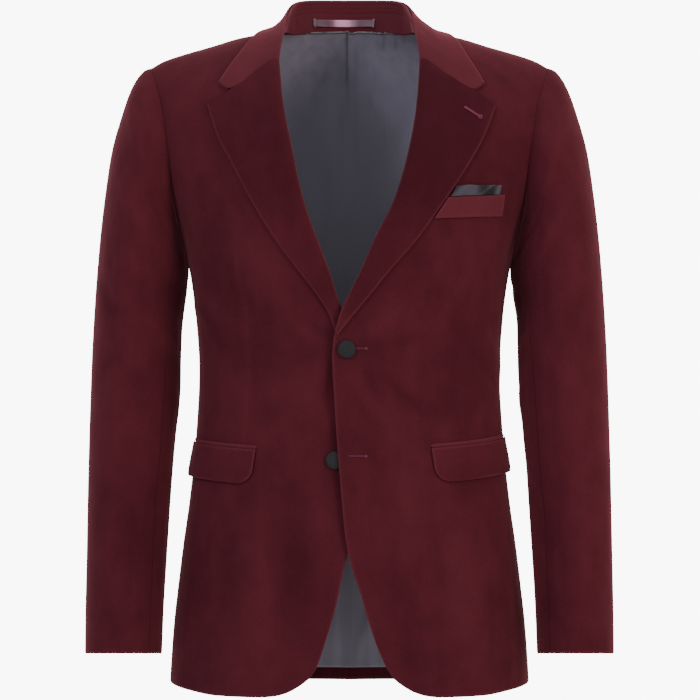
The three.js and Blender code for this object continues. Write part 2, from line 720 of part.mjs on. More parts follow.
// Borders of the back: the centre, then out to the armhole and the side seam
function backBorders(columns, shoulderColumns, shrink) {
  const armhole = armholeSpots(360, 360 - SIDE_SEAM_TURN);
  const seam = seamSpots(armhole[armhole.length - 1], radians(HIND_SEAM_AT_HEM));
  const turn = radians(shrink.turn);
  const right = [...armhole, ...seam.slice(1)].map(({ angle, z }, i) => (
    { angle: angle + turn, z: i < 4 ? z - shrink.drop * (1 - i / 4) : z }
  ));
  const upper = armholeDrops().map((drop) => BACK_NECK_HEIGHT - shrink.neck - drop);
  const start = upper[upper.length - 1];
  const lower = seam.slice(1).map((_, i) => lerp(start, hemHeight(Math.PI), (i + 1) / SEAM_ROWS));
  const left = [...upper, ...lower].map((z) => ({ angle: Math.PI, z }));
  const tip = right[0].angle;
  const neck = Math.PI - angleAt(NECK_POINT.x, NECK_POINT.z);
  const neckline = columns.map((x) => {
    const angle = Math.PI - angleAt(x, BACK_NECK_HEIGHT);
    return { angle, z: lerp(left[0].z, NECK_POINT.z - shrink.drop, x / NECK_POINT.x) };
  });
  const shoulder = Array.from({ length: shoulderColumns + 1 }, (_, j) => {
    const spot = shoulderSpot(lerp(neck, tip, j / shoulderColumns));
    return { angle: spot.angle, z: spot.z - shrink.drop };
  });
  shoulder[shoulderColumns] = right[0];
  return { top: [...neckline, ...shoulder], left, right, hem: hemHeight };
}

function backPanel(name, side) {
  const borders = backBorders(NECKLINE, SHOULDER_COLUMNS, FULL_SIZE);
  const grid = bodyGrid(side, panelSpots(borders));
  return wallMesh(name, side, insetSeams(grid, { top: SEAM, left: SEAM, right: SEAM }), VELVET, WINE);
}

// Lining of the back, one piece with a pleat down its centre
function liningBack(name) {
  const borders = backBorders(LINING_NECKLINE, LINING_COLUMNS, LINING_SHRINK);
  const half = panelSpots({ ...borders, hem: (angle) => hemHeight(angle) + LINING_RISE });
  const lift = -VELVET - LINING_GAP;
  const place = (side) => ({ angle, z }) => {
    const sunk = LINING_NECK_GAP * ease(LINING_NECK_LOW, LINING_NECK_TOP, z);
    const { point, normal } = bodyPoint(side, angle, z, lift - sunk);
    const pleat = PLEAT_HEIGHT * bump(0, PLEAT_SPREAD, point.x);
    point.addScaledVector(normal, -pleat).multiply(new THREE.Vector3(side.sign, 1, 1));
    return point;
  };
  const points = half.map((row) => [
    ...row.slice(1).reverse().map(place(SIDES.right)),
    ...row.map(place(SIDES.left)),
  ]);
  return wallMesh(name, SIDES.left, withNormals(points, false, 1), LINING, SATIN);
}

function sleeveRings(side) {
  const section = (name) => columnCurve(SLEEVE_SECTIONS, 'at', name);
  const [outX, outZ, inX, inZ] = ['outX', 'outZ', 'inX', 'inZ'].map(section);
  const [fore, hind] = ['fore', 'hind'].map(section);
  const ring = (at, turn) => {
    const across = Math.cos(radians(turn));
    const forward = Math.sin(radians(turn));
    const share = (1 + across) / 2;
    const y = (fore(at) + hind(at)) / 2 - forward * (hind(at) - fore(at)) / 2;
    return new THREE.Vector3(lerp(inX(at), outX(at), share), y, lerp(inZ(at), outZ(at), share));
  };
  const turns = Array.from({ length: 360 / ARMHOLE_STEP }, (_, j) => j * ARMHOLE_STEP);
  const plain = SLEEVE_ROWS.map((at) => turns.map((turn) => {
    const spot = armholeSpot(turn);
    const seam = bodyPoint(side, spot.angle, spot.z).point.sub(ring(0, turn));
    return ring(at, turn).addScaledVector(seam, ease(SLEEVE_HEAD_ROWS, 0, at));
  }));
  return withNormals(plain, true, 1).map((row, i) => row.map(({ point, normal }, j) => {
    const out = sleeveFold(side, SLEEVE_ROWS[i], turns[j]);
    return { point: point.addScaledVector(normal, out), normal };
  }));
}

function sleeveFold(side, at, turn) {
  let out = 0;
  SLEEVE_FOLDS.forEach((fold) => {
    const swing = ((turn - fold.turn - side.sign * SLEEVE_FOLD_TURN + 540) % 360) - 180;
    const along = bump(fold.at + swing * fold.slope, fold.spread, at);
    out += fold.height * bump(0, fold.wide / 2, swing) * along;
  });
  return out * ease(0, 2, at) * ease(SLEEVE_ROWS[SLEEVE_ROWS.length - 1] + 1, CUFF_CALM, at);
}

function sleevePieces(label, side) {
  const rings = sleeveRings(side);
  const columns = (from, to) => {
    const count = (to - from) / ARMHOLE_STEP;
    return rings.map((row) => Array.from({ length: count + 1 }, (_, j) => (
      row[(from / ARMHOLE_STEP + j) % row.length]
    )));
  };
  const seams = { top: SEAM, left: SEAM, right: SEAM };
  const pieces = [
    { name: `top_sleeve_${label}`, from: HINDARM_SEAM, to: 360 + FOREARM_SEAM },
    { name: `under_sleeve_${label}`, from: FOREARM_SEAM, to: HINDARM_SEAM },
  ];
  return pieces.map(({ name, from, to }) => (
    wallMesh(name, side, insetSeams(columns(from, to), seams), VELVET, WINE)
  ));
}

// Lapel folded back over its front: raised along the roll line, flat towards its edge
function lapel(name, side) {
  const table = (column) => columnCurve(side.lapel, 'v', column);
  const [rollX, rollZ, edgeX, edgeZ] = ['rollX', 'rollZ', 'edgeX', 'edgeZ'].map(table);
  const rest = REST_GAP + LAPEL_CLOTH;
  const rows = Array.from({ length: LAPEL_ROWS + 1 }, (_, i) => i / LAPEL_ROWS);
  const grid = rows.map((v) => LAPEL_COLUMNS.map((u) => {
    const aside = Math.abs(u - NOTCH.along) / (1 - NOTCH.along);
    const notch = Math.max(0, 1 - aside) * v ** NOTCH.fade;
    const x = lerp(rollX(v), edgeX(v), u);
    const z = lerp(rollZ(v), edgeZ(v), u) + side.notchRise * notch;
    const width = Math.hypot(edgeX(v) - rollX(v), edgeZ(v) - rollZ(v));
    const from = u * width;
    const rounded = ease(0, LAPEL_ROLL_REACH, from) * ease(LAPEL_FLAT_REACH, LAPEL_ROLL_FADE, from);
    const roll = LAPEL_ROLL * ease(LAPEL_OPEN_SHARE, LAPEL_FULL_SHARE, v) * rounded;
    const tip = ease(LAPEL_OPEN_SHARE, LAPEL_TIP_SHARE, v);
    const lift = rest * Math.max(ease(0, LAPEL_TURN_REACH, from), tip) + roll;
    return frontPoint(side, x, z, lift);
  }));
  return wallMesh(name, side, insetSeams(grid, { bottom: GORGE_GAP / 2 }), LAPEL_CLOTH, WINE);
}

// How far a point lies above the body form near the shoulders, and the way out of it
function aboveBody(point) {
  const height = ({ x, y, z }) => {
    const across = Math.min(Math.abs(x) / bodyWidth(z), 0.99);
    const full = y < 0 ? bodyFront(z) : bodyBack(z);
    const depth = full * (1 - across ** SECTION_POWER) ** (1 / SECTION_POWER);
    const reach = Math.min(Math.abs(y) / depth, 0.99);
    return z - shoulderHeight(Math.abs(x)) + SHOULDER_ROUND * (1 - Math.sqrt(1 - reach ** 2));
  };
  const here = height(point);
  const step = 0.5;
  const way = new THREE.Vector3(
    height(point.clone().setX(point.x + step)) - here,
    height(point.clone().setY(point.y + step)) - here,
    height(point.clone().setZ(point.z + step)) - here,
  ).divideScalar(step);
  return { distance: here / way.length(), way: way.normalize() };
}

// Moves a point of the collar out of the body, and its outer part down onto it
function settle(point, rest, hold) {
  for (let pass = 0; pass < 4; pass += 1) {
    const { distance, way } = aboveBody(point);
    const move = rest - distance;
    point.addScaledVector(way, move > 0 ? move : move * hold);
  }
  return point;
}

function linePoint(table) {
  const [x, y, z] = ['x', 'y', 'z'].map((name) => columnCurve(table, 'at', name));
  return (at) => new THREE.Vector3(x(at), y(at), z(at));
}

function mirroredStations(half) {
  const rightHalf = half.slice(1).reverse().map((at) => ({ at, sign: -1 }));
  return [...rightHalf, ...half.map((at) => ({ at, sign: 1 }))];
}

// Fall of the collar, from the fold line over the stand down onto the back, shoulders and fronts
function collarLeaf(name) {
  const lines = COLLAR_ROWS.map(({ line }) => linePoint(line));
  const rest = REST_GAP + LAPEL_CLOTH;
  const rightShift = columnCurve(LEAF_RIGHT_SHIFT, 'at', 'shift');
  const station = ({ at, sign }) => {
    const narrower = sign < 0 ? rightShift(at) : 0;
    const corners = lines.map((line) => line(at));
    const table = COLLAR_ROWS.map(({ across }, i) => (
      { across, x: corners[i].x, y: corners[i].y, z: corners[i].z }
    ));
    const [x, y, z] = ['x', 'y', 'z'].map((axis) => columnCurve(table, 'across', axis));
    return LEAF_COLUMNS.map((across) => {
      const point = new THREE.Vector3(x(across) - narrower * across, y(across), z(across));
      const lift = rest * ease(LEAF_LIFT.from, LEAF_LIFT.to, across);
      settle(point, lift, ease(LEAF_HOLD.from, LEAF_HOLD.to, across));
      return point.multiply(new THREE.Vector3(sign, 1, 1));
    });
  };
  const points = mirroredStations(LEAF_STATIONS).map(station);
  const grid = insetSeams(withNormals(points, false, -1), { top: GORGE_GAP / 2, bottom: GORGE_GAP / 2 });
  return wallMesh(name, SIDES.left, grid, LAPEL_CLOTH, WINE_LIGHT);
}

// Inside face of the stand, from under the fold line (0) down to the neck seam (1)
function standPoint(at, share) {
  const fold = linePoint(COLLAR_FOLD);
  const ahead = fold(Math.min(at + 0.1, 7)).sub(fold(Math.max(at - 0.1, 0)));
  const outward = new THREE.Vector3(-ahead.y, ahead.x, 0).normalize();
  if (at === 0) outward.set(0, 1, 0);
  const top = fold(at).addScaledVector(outward, -STAND_INSET);
  top.z -= STAND_DROP;
  const low = linePoint(NECK_SEAM)(at).addScaledVector(outward, -LAPEL_CLOTH - SEAM_GAP);
  low.z += SEAM_GAP;
  const point = top.lerp(low, share).addScaledVector(outward, STAND_HOLLOW * Math.sin(Math.PI * share));
  return { point, outward };
}

function collarStand(name) {
  const grid = mirroredStations(STAND_STATIONS).map(({ at, sign }) => STAND_ROWS.map((share) => {
    const flip = new THREE.Vector3(sign, 1, 1);
    const { point, outward } = standPoint(at, share);
    return { point: point.multiply(flip), normal: outward.multiply(flip).negate() };
  }));
  return wallMesh(name, SIDES.left, grid, LAPEL_CLOTH, WINE_LIGHT);
}

// Satin loop sewn inside the stand
function hangerLoop(name) {
  const station = columnCurve(COLLAR_FOLD, 'x', 'at');
  const columns = Array.from({ length: LOOP_STEPS + 1 }, (_, j) => (
    lerp(LOOP.from, LOOP.to, j / LOOP_STEPS)
  ));
  const grid = columns.map((x) => [LOOP.top, LOOP.bottom].map((share) => {
    const flip = new THREE.Vector3(x < 0 ? -1 : 1, 1, 1);
    const { point, outward } = standPoint(station(Math.abs(x)), share);
    point.addScaledVector(outward, -LOOP.gap - LOOP.cloth);
    return { point: point.multiply(flip), normal: outward.multiply(flip).negate() };
  }));
  return wallMesh(name, SIDES.left, grid, LOOP.cloth, LILAC);
}

// Flap from the front round to the side, with rounded lower corners, flaring a little
function flapPanel(name, side) {
  const { frontX, foreTop, hindTop } = side.flap;
  const front = angleAt(frontX, foreTop);
  const steps = Array.from({ length: FLAP_COLUMNS + 1 }, (_, j) => j / FLAP_COLUMNS);
  const grid = FLAP_ROWS.map((v) => steps.map((u) => {
    const inside = Math.max(0, FLAP_CORNER - Math.min(u, 1 - u) * FLAP_LENGTH);
    const corner = FLAP_CORNER - Math.sqrt(FLAP_CORNER ** 2 - inside ** 2);
    const angle = lerp(front + FLAP_SLANT * v, FLAP_REAR, u);
    const z = lerp(foreTop, hindTop, u) - v * (FLAP_DEPTH - corner);
    return bodyPoint(side, angle, z, REST_GAP + FLAP_CLOTH + FLAP_FLARE * v * u);
  }));
  return wallMesh(name, side, grid, FLAP_CLOTH, WINE);
}

function jet(name, side) {
  const { frontX, foreTop, hindTop } = side.flap;
  const front = angleAt(frontX - 1, foreTop);
  const steps = Array.from({ length: FLAP_COLUMNS + 1 }, (_, j) => j / FLAP_COLUMNS);
  const grid = [JET_GAP + JET_HEIGHT, JET_GAP].map((above) => steps.map((u) => (
    bodyPoint(side, lerp(front, FLAP_REAR, u), lerp(foreTop, hindTop, u) + above, REST_GAP + JET_CLOTH)
  )));
  return wallMesh(name, side, grid, JET_CLOTH, WINE);
}

// Four-cornered patch on a front: its upper and lower edges, from the lapel outwards
function frontPatch(side, patch, rows, columns, lift) {
  const shares = (count) => Array.from({ length: count + 1 }, (_, i) => i / count);
  return shares(rows).map((v) => shares(columns).map((u) => {
    const x = lerp(lerp(patch.inTopX, patch.outTopX, u), lerp(patch.inLowX, patch.outLowX, u), v);
    const z = lerp(lerp(patch.inTopZ, patch.outTopZ, u), lerp(patch.inLowZ, patch.outLowZ, u), v);
    return frontPoint(side, x, z, lift);
  }));
}

function breastWelt(name) {
  const grid = frontPatch(SIDES.left, WELT, 2, 6, REST_GAP + WELT_CLOTH);
  return wallMesh(name, SIDES.left, grid, WELT_CLOTH, WINE_LIGHT);
}

function pocketSquare(name) {
  const grid = frontPatch(SIDES.left, SQUARE, 2, 6, REST_GAP + SQUARE_CLOTH);
  return wallMesh(name, SIDES.left, grid, SQUARE_CLOTH, SATIN);
}

// Cloth-covered button, domed, seated on its front
function button(name, side, place) {
  const profile = BUTTON_PROFILE.map(({ out, up }) => (
    new THREE.Vector2(out * BUTTON_DIAMETER / 2, up * BUTTON_THICKNESS)
  ));
  const mesh = namedMesh(name, new THREE.LatheGeometry(profile, BUTTON_SIDES), CHARCOAL);
  const { point, normal } = frontPoint(side, place.x * side.sign, place.z, SEAM_GAP);
  const flip = new THREE.Vector3(side.sign, 1, 1);
  mesh.position.copy(point.multiply(flip));
  mesh.quaternion.setFromUnitVectors(new THREE.Vector3(0, 1, 0), normal.multiply(flip));
  return mesh;
}

const blazer = new THREE.Group();
Object.entries(SIDES).forEach(([label, side]) => {
  blazer.add(
    frontPanel(`front_${label}`, side),
    sidePanel(`side_${label}`, side),
    backPanel(`back_${label}`, side),
    ...sleevePieces(label, side),
    lapel(`lapel_${label}`, side),
    flapPanel(`flap_${label}`, side),
    jet(`jet_${label}`, side),
  );
});
blazer.add(
  collarLeaf('collar_leaf'),
  collarStand('collar_stand'),
  liningBack('lining_back'),
  hangerLoop('hanger_loop'),
  breastWelt('breast_welt'),
  pocketSquare('pocket_square'),
  button('button_top', SIDES.left, BUTTON_TOP),
  button('button_low', SIDES.right, BUTTON_LOW),
);

export default blazer;
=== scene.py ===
import math

import bmesh
import bpy
import numpy as np
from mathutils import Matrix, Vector


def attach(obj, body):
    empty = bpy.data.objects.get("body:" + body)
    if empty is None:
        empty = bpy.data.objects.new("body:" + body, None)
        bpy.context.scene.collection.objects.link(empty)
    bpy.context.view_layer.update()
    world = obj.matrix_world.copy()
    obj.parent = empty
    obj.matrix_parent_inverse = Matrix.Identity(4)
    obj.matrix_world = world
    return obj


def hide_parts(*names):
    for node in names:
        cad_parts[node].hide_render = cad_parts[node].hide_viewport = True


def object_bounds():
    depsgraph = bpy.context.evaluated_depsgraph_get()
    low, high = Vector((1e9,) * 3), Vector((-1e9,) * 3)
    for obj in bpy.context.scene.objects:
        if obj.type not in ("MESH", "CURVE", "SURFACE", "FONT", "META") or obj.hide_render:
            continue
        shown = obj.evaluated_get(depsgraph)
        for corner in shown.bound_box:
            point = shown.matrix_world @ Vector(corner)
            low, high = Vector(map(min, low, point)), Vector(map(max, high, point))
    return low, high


# Looks of the velvet blazer. The garment's form is worked out in millimetres, as it was cut and
# filled out; meshes are made in metres. The wearer's left is +X and the front is -Y.
# Shapes are worked out on the wearer's left and mirrored for the right.

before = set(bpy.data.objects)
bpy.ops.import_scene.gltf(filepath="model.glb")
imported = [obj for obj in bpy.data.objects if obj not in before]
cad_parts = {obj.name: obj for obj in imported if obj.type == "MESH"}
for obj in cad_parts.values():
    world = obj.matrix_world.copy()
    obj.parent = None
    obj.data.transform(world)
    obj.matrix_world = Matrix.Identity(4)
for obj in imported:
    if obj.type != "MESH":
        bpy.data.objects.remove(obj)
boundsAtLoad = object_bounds()
millimetre = 0.001
coarse = 1


def table(names, *rows):
    return [dict(zip(names.split(), row)) for row in rows]


# Thickness of each cloth, and the room kept between pieces that meet or lie on each other
cloth = {"velvet": 2.0, "lapel": 2.4, "lining": 1.2, "flap": 2.2, "jet": 1.5, "square": 1.4, "loop": 1.2}
gap = {"seam": 0, "gorge": 0.3, "rest": 0.9, "lining": 1.0, "button": 0.3}

bodyCut = {
    "power": 2.4,  # roundness of its section, where 2 is an ellipse
    "shoulderRound": 190, "ridgeRoom": 0.05,
    "armholeTop": -48.6, "underarm": -240, "break": -346,
    "backNeck": -4, "neckX": 78, "neckZ": -3,
    "hem": -738, "frontCorner": -718.3,
    "rightHemShift": {"most": 4, "x": (130, 60)},
    "foreSeam": 70, "hindSeam": 115,  # where the side panel's seams meet the hem, in degrees from the front
    "sideSeamTurn": 150,  # and where they leave the armhole, in degrees round it
    "armholeShare": 10 / 22,  # share of a panel's rows that lie beside the armhole
}
bodySections = table(
    "z width front back",
    (-760, 202, 118, 128),
    (-711, 199.4, 118, 131),
    (-666, 196, 118, 131),
    (-622, 191, 117, 129),
    (-577, 185.4, 116, 125),
    (-532, 179, 115, 119),
    (-465, 172, 114, 109),
    (-386, 168, 117, 104),
    (-330, 171.4, 122, 108),
    (-286, 177, 126, 114),
    (-240, 188, 128, 121),
    (-180, 212, 126, 126),
    (-120, 229, 122, 128),
    (-48, 240, 120, 128),
    (40, 246, 118, 126),
)
shoulderLine = table(
    "x z", (0, 21), (78, -3), (104, -11), (125, -15.5), (153, -24), (193, -35.6), (209, -41.4),
    (222, -48.6), (245, -58),
)
armholeEdge = table(
    "z x", (-240, 188), (-206, 193), (-151, 199), (-125, 203), (-90, 209), (-78, 212.5), (-48.6, 222),
)
leftFrontEdge = table(
    "z x",
    (-718.3, 48.4), (-703.6, 39), (-682, 29.7), (-654, 20.1), (-622, 10.8), (-592.6, 1), (-560, -5),
    (-500, -10.5), (-458, -13.8), (-406, -17), (-370, -18.8), (-346, -16.9), (-319.5, -8.6),
    (-277, 11.4), (-244.5, 25.5), (-195.6, 49.4), (-135, 65.9), (-90.7, 73), (-44.4, 76.5),
    (-15, 78), (-3, 78),
)
rightFrontEdge = table(
    "z x",
    (-718.3, 44.5), (-706.9, 36.5), (-675, 25.3), (-645.7, 16.3), (-592.6, 4.6), (-560, -4),
    (-500, -12), (-458, -15.5), (-406, -18), (-380, -17), (-346, -6), (-319.5, 8.6), (-277, 21.2),
    (-212, 46.2), (-135, 62.8), (-90.7, 72), (-44.4, 76.5), (-15, 78), (-3, 78),
)
hemFrontLine = table(
    "x z", (44, -718.3), (58, -729.5), (72, -737.5), (86, -741.5), (100, -742.8), (144, -742.5),
    (175, -739.5), (202, -734),
)
hemBackLine = table("x z", (0, -745), (120, -743), (175, -738.5), (202, -734))

# Each lapel from the break (0) up to the gorge (1): its roll line and its outer edge
leftLapel = table(
    "v rollX rollZ edgeX edgeZ",
    (0, -15.5, -342, -12.6, -347),
    (0.06, -8.8, -319.5, 3, -327),
    (0.14, 0.4, -300, 22, -304),
    (0.24, 11.4, -277, 42, -279),
    (0.36, 25.5, -244.5, 70, -247.5),
    (0.52, 49.4, -195.6, 100, -206),
    (0.7, 65.9, -135, 130.5, -160),
    (0.86, 73, -90.7, 147, -130),
    (1, 76.5, -44, 160, -97),
)
rightLapel = table(
    "v rollX rollZ edgeX edgeZ",
    (0, -5, -343, 15, -346),
    (0.06, 4, -328, 21.5, -327),
    (0.14, 10.5, -313, 34, -306),
    (0.24, 18.5, -286, 52, -282),
    (0.36, 31, -252, 76, -250),
    (0.52, 49, -201, 102, -209),
    (0.7, 63, -138, 129, -159),
    (0.86, 72, -90.7, 144, -130),
    (1, 76.5, -44, 156, -94),
)

# Collar at stations from the centre back (0) over the shoulder (4) to the gorge (7)
collarFold = table(
    "at x y z", (0, 0, 72, 35), (1, 30, 69, 34.8), (2, 52, 55, 33), (3, 65, 33, 27),
    (4, 70, 7, 16.3), (5, 71.5, -20, 3), (6, 74, -50, -17), (7, 76.5, -73.5, -44),
)
collarMiddle = table(
    "at x y z", (0, 0, 80, 10), (1, 34, 77, 10), (2, 64, 60, 9), (3, 81, 33, 6.5), (4, 85, 4, 3),
    (5, 91, -26, -7), (6, 98, -58, -31), (7, 106, -80, -60.4),
)
collarNotch = table(
    "at x y z", (0, 0, 79, -8), (1, 36, 75, -8), (2, 73, 58, -7.5), (3, 95, 31, -6), (4, 101, 2, -6),
    (5, 110, -29, -15), (6, 121, -62, -43), (7, 136, -81, -77.2),
)
collarEdge = table(
    "at x y z", (0, 0, 77, -16), (1, 37, 73, -16), (2, 76, 56, -15), (3, 101, 29, -12.5),
    (4, 108, 2, -9.5), (5, 118, -26, -16), (6, 131, -54, -38), (7, 149, -71, -69.5),
)
collarRows = [(0, collarFold), (0.45, collarMiddle), (0.82, collarNotch), (1, collarEdge)]
# How much nearer the centre the outer edge of the leaf lies on the wearer's right
leafRightShift = table("at shift", (0, 0), (2, 5), (4, 11), (5, 11), (6, 8), (7, 5))
neckSeam = table(
    "at x y z", (0, 0, 63, -3), (1, 27, 57.5, -3), (2, 50, 41, -2.6), (3, 66, 22, -2),
    (4, 74.5, 2, -1), (5, 75.3, -23, -6), (6, 75.8, -52, -23),
)

# Sleeve sections from the armhole (0) to the cuff (14)
sleeveSections = table(
    "at outX outZ inX inZ fore hind",
    (0, 222, -48.6, 188, -240, -58, 60),
    (1, 228.5, -50.5, 186.8, -244, -63, 65),
    (2, 237, -59.5, 184.4, -248.5, -68, 70),
    (3, 246.5, -78, 182.8, -254, -72, 73),
    (4, 256, -106, 181.2, -262, -75, 75),
    (5, 265.6, -141, 179.9, -273, -77, 74),
    (6, 272.8, -188, 180.4, -288, -78, 71),
    (7, 279, -243, 183.4, -312, -78, 66),
    (8, 284, -308, 186.6, -347, -77, 58),
    (9, 287.3, -373, 189, -393, -77, 48),
    (10, 289.2, -440, 192.6, -448, -78, 37),
    (11, 290.8, -516, 198, -518, -81, 25),
    (12, 291.6, -594, 202.6, -594, -86, 13),
    (13, 292.6, -656, 206, -656, -89, 5),
    (14, 292.8, -702, 207.6, -702, -91, 0),
)

# Large folds, as in the construction: those that leave the fastened button, waves of the skirt,
# folds of the back and folds across the sleeves
dragFolds = table(
    "turn height peak reach spread",
    (38, 2.6, 62, 150, 13),
    (12, 1.8, 70, 150, 11),
    (-30, 2.2, 66, 150, 14),
    (146, 2.8, 60, 150, 13),
    (172, 1.7, 72, 150, 11),
    (212, 2.3, 70, 155, 15),
)
fastened = {"x": -3, "z": -362.5}  # the button that draws the fronts
skirtWaves = table("turn height spread", (33, 2.2, 9), (58, -2.4, 8), (128, 2.6, 10), (158, -2.2, 9))
backFolds = table(
    "x z lean height reach spread",
    (62, -395, 26, 2.4, 85, 12),
    (96, -330, -30, 2.2, 80, 12),
    (118, -150, 68, 2.4, 80, 13),
)
sleeveFolds = table(
    "at turn slope height spread wide",
    (3.4, 60, 0.014, 2.2, 0.55, 60),
    (7.2, 150, 0.012, -2.4, 0.6, 70),
    (8.7, 100, -0.013, 2.2, 0.5, 75),
    (9.8, 230, 0.012, 2.8, 0.5, 80),
    (11.6, 120, 0.012, -2, 0.6, 70),
    (12.8, 290, -0.012, 2, 0.5, 80),
)


# Smooth curve through one column of a table, without overshoot between its rows
def columnCurve(rows, key, name):
    at = np.array([row[key] for row in rows], float)
    value = np.array([row[name] for row in rows], float)
    rise = np.diff(value) / np.diff(at)
    slope = np.zeros_like(value)
    slope[0], slope[-1] = rise[0], rise[-1]
    product = rise[:-1] * rise[1:]
    total = np.where(product > 0, rise[:-1] + rise[1:], 1)
    slope[1:-1] = np.where(product > 0, 2 * product / total, 0)

    def curve(wanted):
        place = np.clip(wanted, at[0], at[-1])
        i = np.clip(np.searchsorted(at, place, side="right") - 1, 0, len(at) - 2)
        span = at[i + 1] - at[i]
        t = (place - at[i]) / span
        fall = 1 - t
        ends = fall * fall * (1 + 2 * t) * value[i] + t * t * (3 - 2 * t) * value[i + 1]
        return ends + span * t * fall * (fall * slope[i] - t * slope[i + 1])

    return curve


# 0 at one value and 1 at the other, eased between them
def ease(start, end, value):
    t = np.clip((value - start) / (end - start), 0, 1)
    return t * t * (3 - 2 * t)


def bump(middle, spread, value):
    return np.exp(-(((value - middle) / spread) ** 2))


def mix(start, end, share):
    return start + (end - start) * share


def unit(vectors):
    return vectors / np.linalg.norm(vectors, axis=-1, keepdims=True)


bodyWidth = columnCurve(bodySections, "z", "width")
bodyFront = columnCurve(bodySections, "z", "front")
bodyBack = columnCurve(bodySections, "z", "back")
shoulderHeight = columnCurve(shoulderLine, "x", "z")
armholeX = columnCurve(armholeEdge, "z", "x")
hemFront = columnCurve(hemFrontLine, "x", "z")
hemBack = columnCurve(hemBackLine, "x", "z")


class Side:
    def __init__(self, label, sign, edge, lapel, notchRise, flap, folds, paintedPatches, dart):
        self.label = label
        self.sign = sign
        self.notchRise = notchRise
        self.edge = columnCurve(edge, "z", "x")
        self.lapel = lapel
        self.flap = flap
        self.folds = folds
        self.paintedPatches = paintedPatches
        self.dart = dart


# Smaller folds of each front: middle (mm), lean of its ridge in degrees from the horizontal towards
# the wearer's left, height, half length and half width. x grows towards that front's own side.
leftFolds = table(
    "x z lean height reach spread",
    (34, -405, -62, 1.5, 46, 9),
    (17, -392, -74, -1.3, 34, 7),
    (58, -400, -44, -1.2, 50, 10),
    (84, -430, -52, 1.1, 44, 12),
    (150, -352, -62, 1.6, 38, 7),
    (141, -372, -58, -1.4, 34, 6),
    (40, -330, 52, 1.1, 34, 8),
    (66, -318, 40, -1.2, 40, 9),
    (100, -335, 24, 1.0, 46, 10),
    (122, -296, 50, 1.2, 50, 11),
    (30, -560, -84, -1.5, 70, 13),
    (62, -590, -88, 1.6, 80, 15),
    (98, -620, -86, -1.5, 74, 14),
    (132, -640, -92, 1.3, 66, 13),
    (120, -545, -70, -1.0, 40, 12),
    (150, -150, 60, 1.2, 44, 9),
    (176, -190, 72, -1.4, 46, 8),
)
rightFolds = table(
    "x z lean height reach spread",
    (40, -408, -60, 1.6, 44, 9),
    (62, -388, -40, -1.2, 46, 9),
    (22, -400, -78, -1.4, 36, 7),
    (92, -415, -34, 1.2, 46, 11),
    (154, -340, 52, 1.5, 30, 6),
    (144, -352, 46, -1.5, 30, 5),
    (134, -330, 44, 1.1, 34, 6),
    (52, -326, 46, -1.3, 40, 9),
    (76, -300, 54, 1.2, 44, 10),
    (106, -318, 30, -1.1, 46, 11),
    (36, -575, -88, 1.4, 74, 14),
    (66, -610, -84, -1.6, 80, 14),
    (100, -585, -90, 1.5, 70, 13),
    (138, -640, -86, -1.3, 66, 12),
    (112, -520, -64, -1.1, 40, 12),
    (146, -160, 64, -1.2, 46, 10),
    (172, -200, 76, 1.5, 50, 9),
)
# Waist darts, from under the chest down to the pocket
leftDart = table(
    "z x", (-470, 102), (-451, 100.8), (-440, 99.7), (-364, 98.6), (-300, 107), (-278, 111.4),
)
rightDart = table(
    "z x", (-470, 115.4), (-461, 114.9), (-440, 111.9), (-391, 109.9), (-332, 111.9), (-275, 122.5),
    (-244, 123.6),
)
darts = {
    # tone is painted light along the dart's line
    "pinch": {"left": 0.3, "right": 0.6}, "tone": {"left": -0.3, "right": -0.9},
    "above": 4, "below": 26,  # how it fades out at its top
    "line": 1.1, "slope": 5, "slopeShare": 0.5,
}
# Painted light and shade on each front, in patches placed as the folds are
leftPaintedShade = table(
    "x z lean height reach spread",
    (31, -429, -55, 0.9, 38, 8),
    (50, -405, -42, -0.8, 40, 9),
    (42, -331, 32, 0.7, 40, 8),
    (55, -353, 10, -0.7, 38, 8),
    (126, -364, 80, -0.4, 70, 26),
    (60, -500, -70, 0.4, 60, 16),
    (95, -420, -50, -0.4, 44, 14),
    (120, -560, -80, 0.4, 60, 18),
    (60, -640, -84, -0.5, 70, 14),
    (30, -560, -80, 0.4, 60, 10),
    (145, -150, 60, -0.8, 60, 22),
    (162, -230, 80, 0.3, 60, 14),
    (181, -268, 80, -4.2, 56, 5),
)
rightPaintedShade = table(
    "x z lean height reach spread",
    (8, -455, 90, -1.1, 90, 9),
    (40, -415, 60, 0.5, 32, 12),
    (32, -343, 31, -0.8, 40, 6),
    (55, -336, 25, 0.6, 45, 10),
    (87, -429, 60, -0.6, 45, 18),
    (62, -470, 70, 0.5, 50, 12),
    (120, -400, 70, 0.5, 60, 14),
    (146, -350, 58, -0.7, 40, 8),
    (50, -600, 86, -0.5, 80, 14),
    (90, -620, 88, 0.5, 70, 14),
    (130, -600, 84, -0.5, 70, 14),
    (145, -150, 60, 0.3, 60, 22),
    (110, -260, 50, 0.4, 50, 16),
)
left = Side("left", 1, leftFrontEdge, leftLapel, 3.2,
            {"frontX": 89, "foreTop": -471, "hindTop": -460}, leftFolds, leftPaintedShade, leftDart)
right = Side("right", -1, rightFrontEdge, rightLapel, -1.6,
             {"frontX": 102, "foreTop": -472.5, "hindTop": -465}, rightFolds, rightPaintedShade, rightDart)


# Point of the smooth body at an angle round it from the front and at a height
def bodyForm(angle, z):
    angle, z = np.broadcast_arrays(np.asarray(angle, float), np.asarray(z, float))
    power = 2 / bodyCut["power"]
    across, along = np.sin(angle), np.cos(angle)
    x = np.sign(across) * bodyWidth(z) * np.abs(across) ** power
    depth = np.where(along > 0, bodyFront(z), bodyBack(z))
    drop = np.clip((shoulderHeight(np.abs(x)) - z) / bodyCut["shoulderRound"], 0, 1)
    rounded = np.sqrt(1 - (1 - drop) ** 2)
    y = -np.sign(along) * depth * rounded * np.abs(along) ** power
    return np.stack([x, y, z], -1)


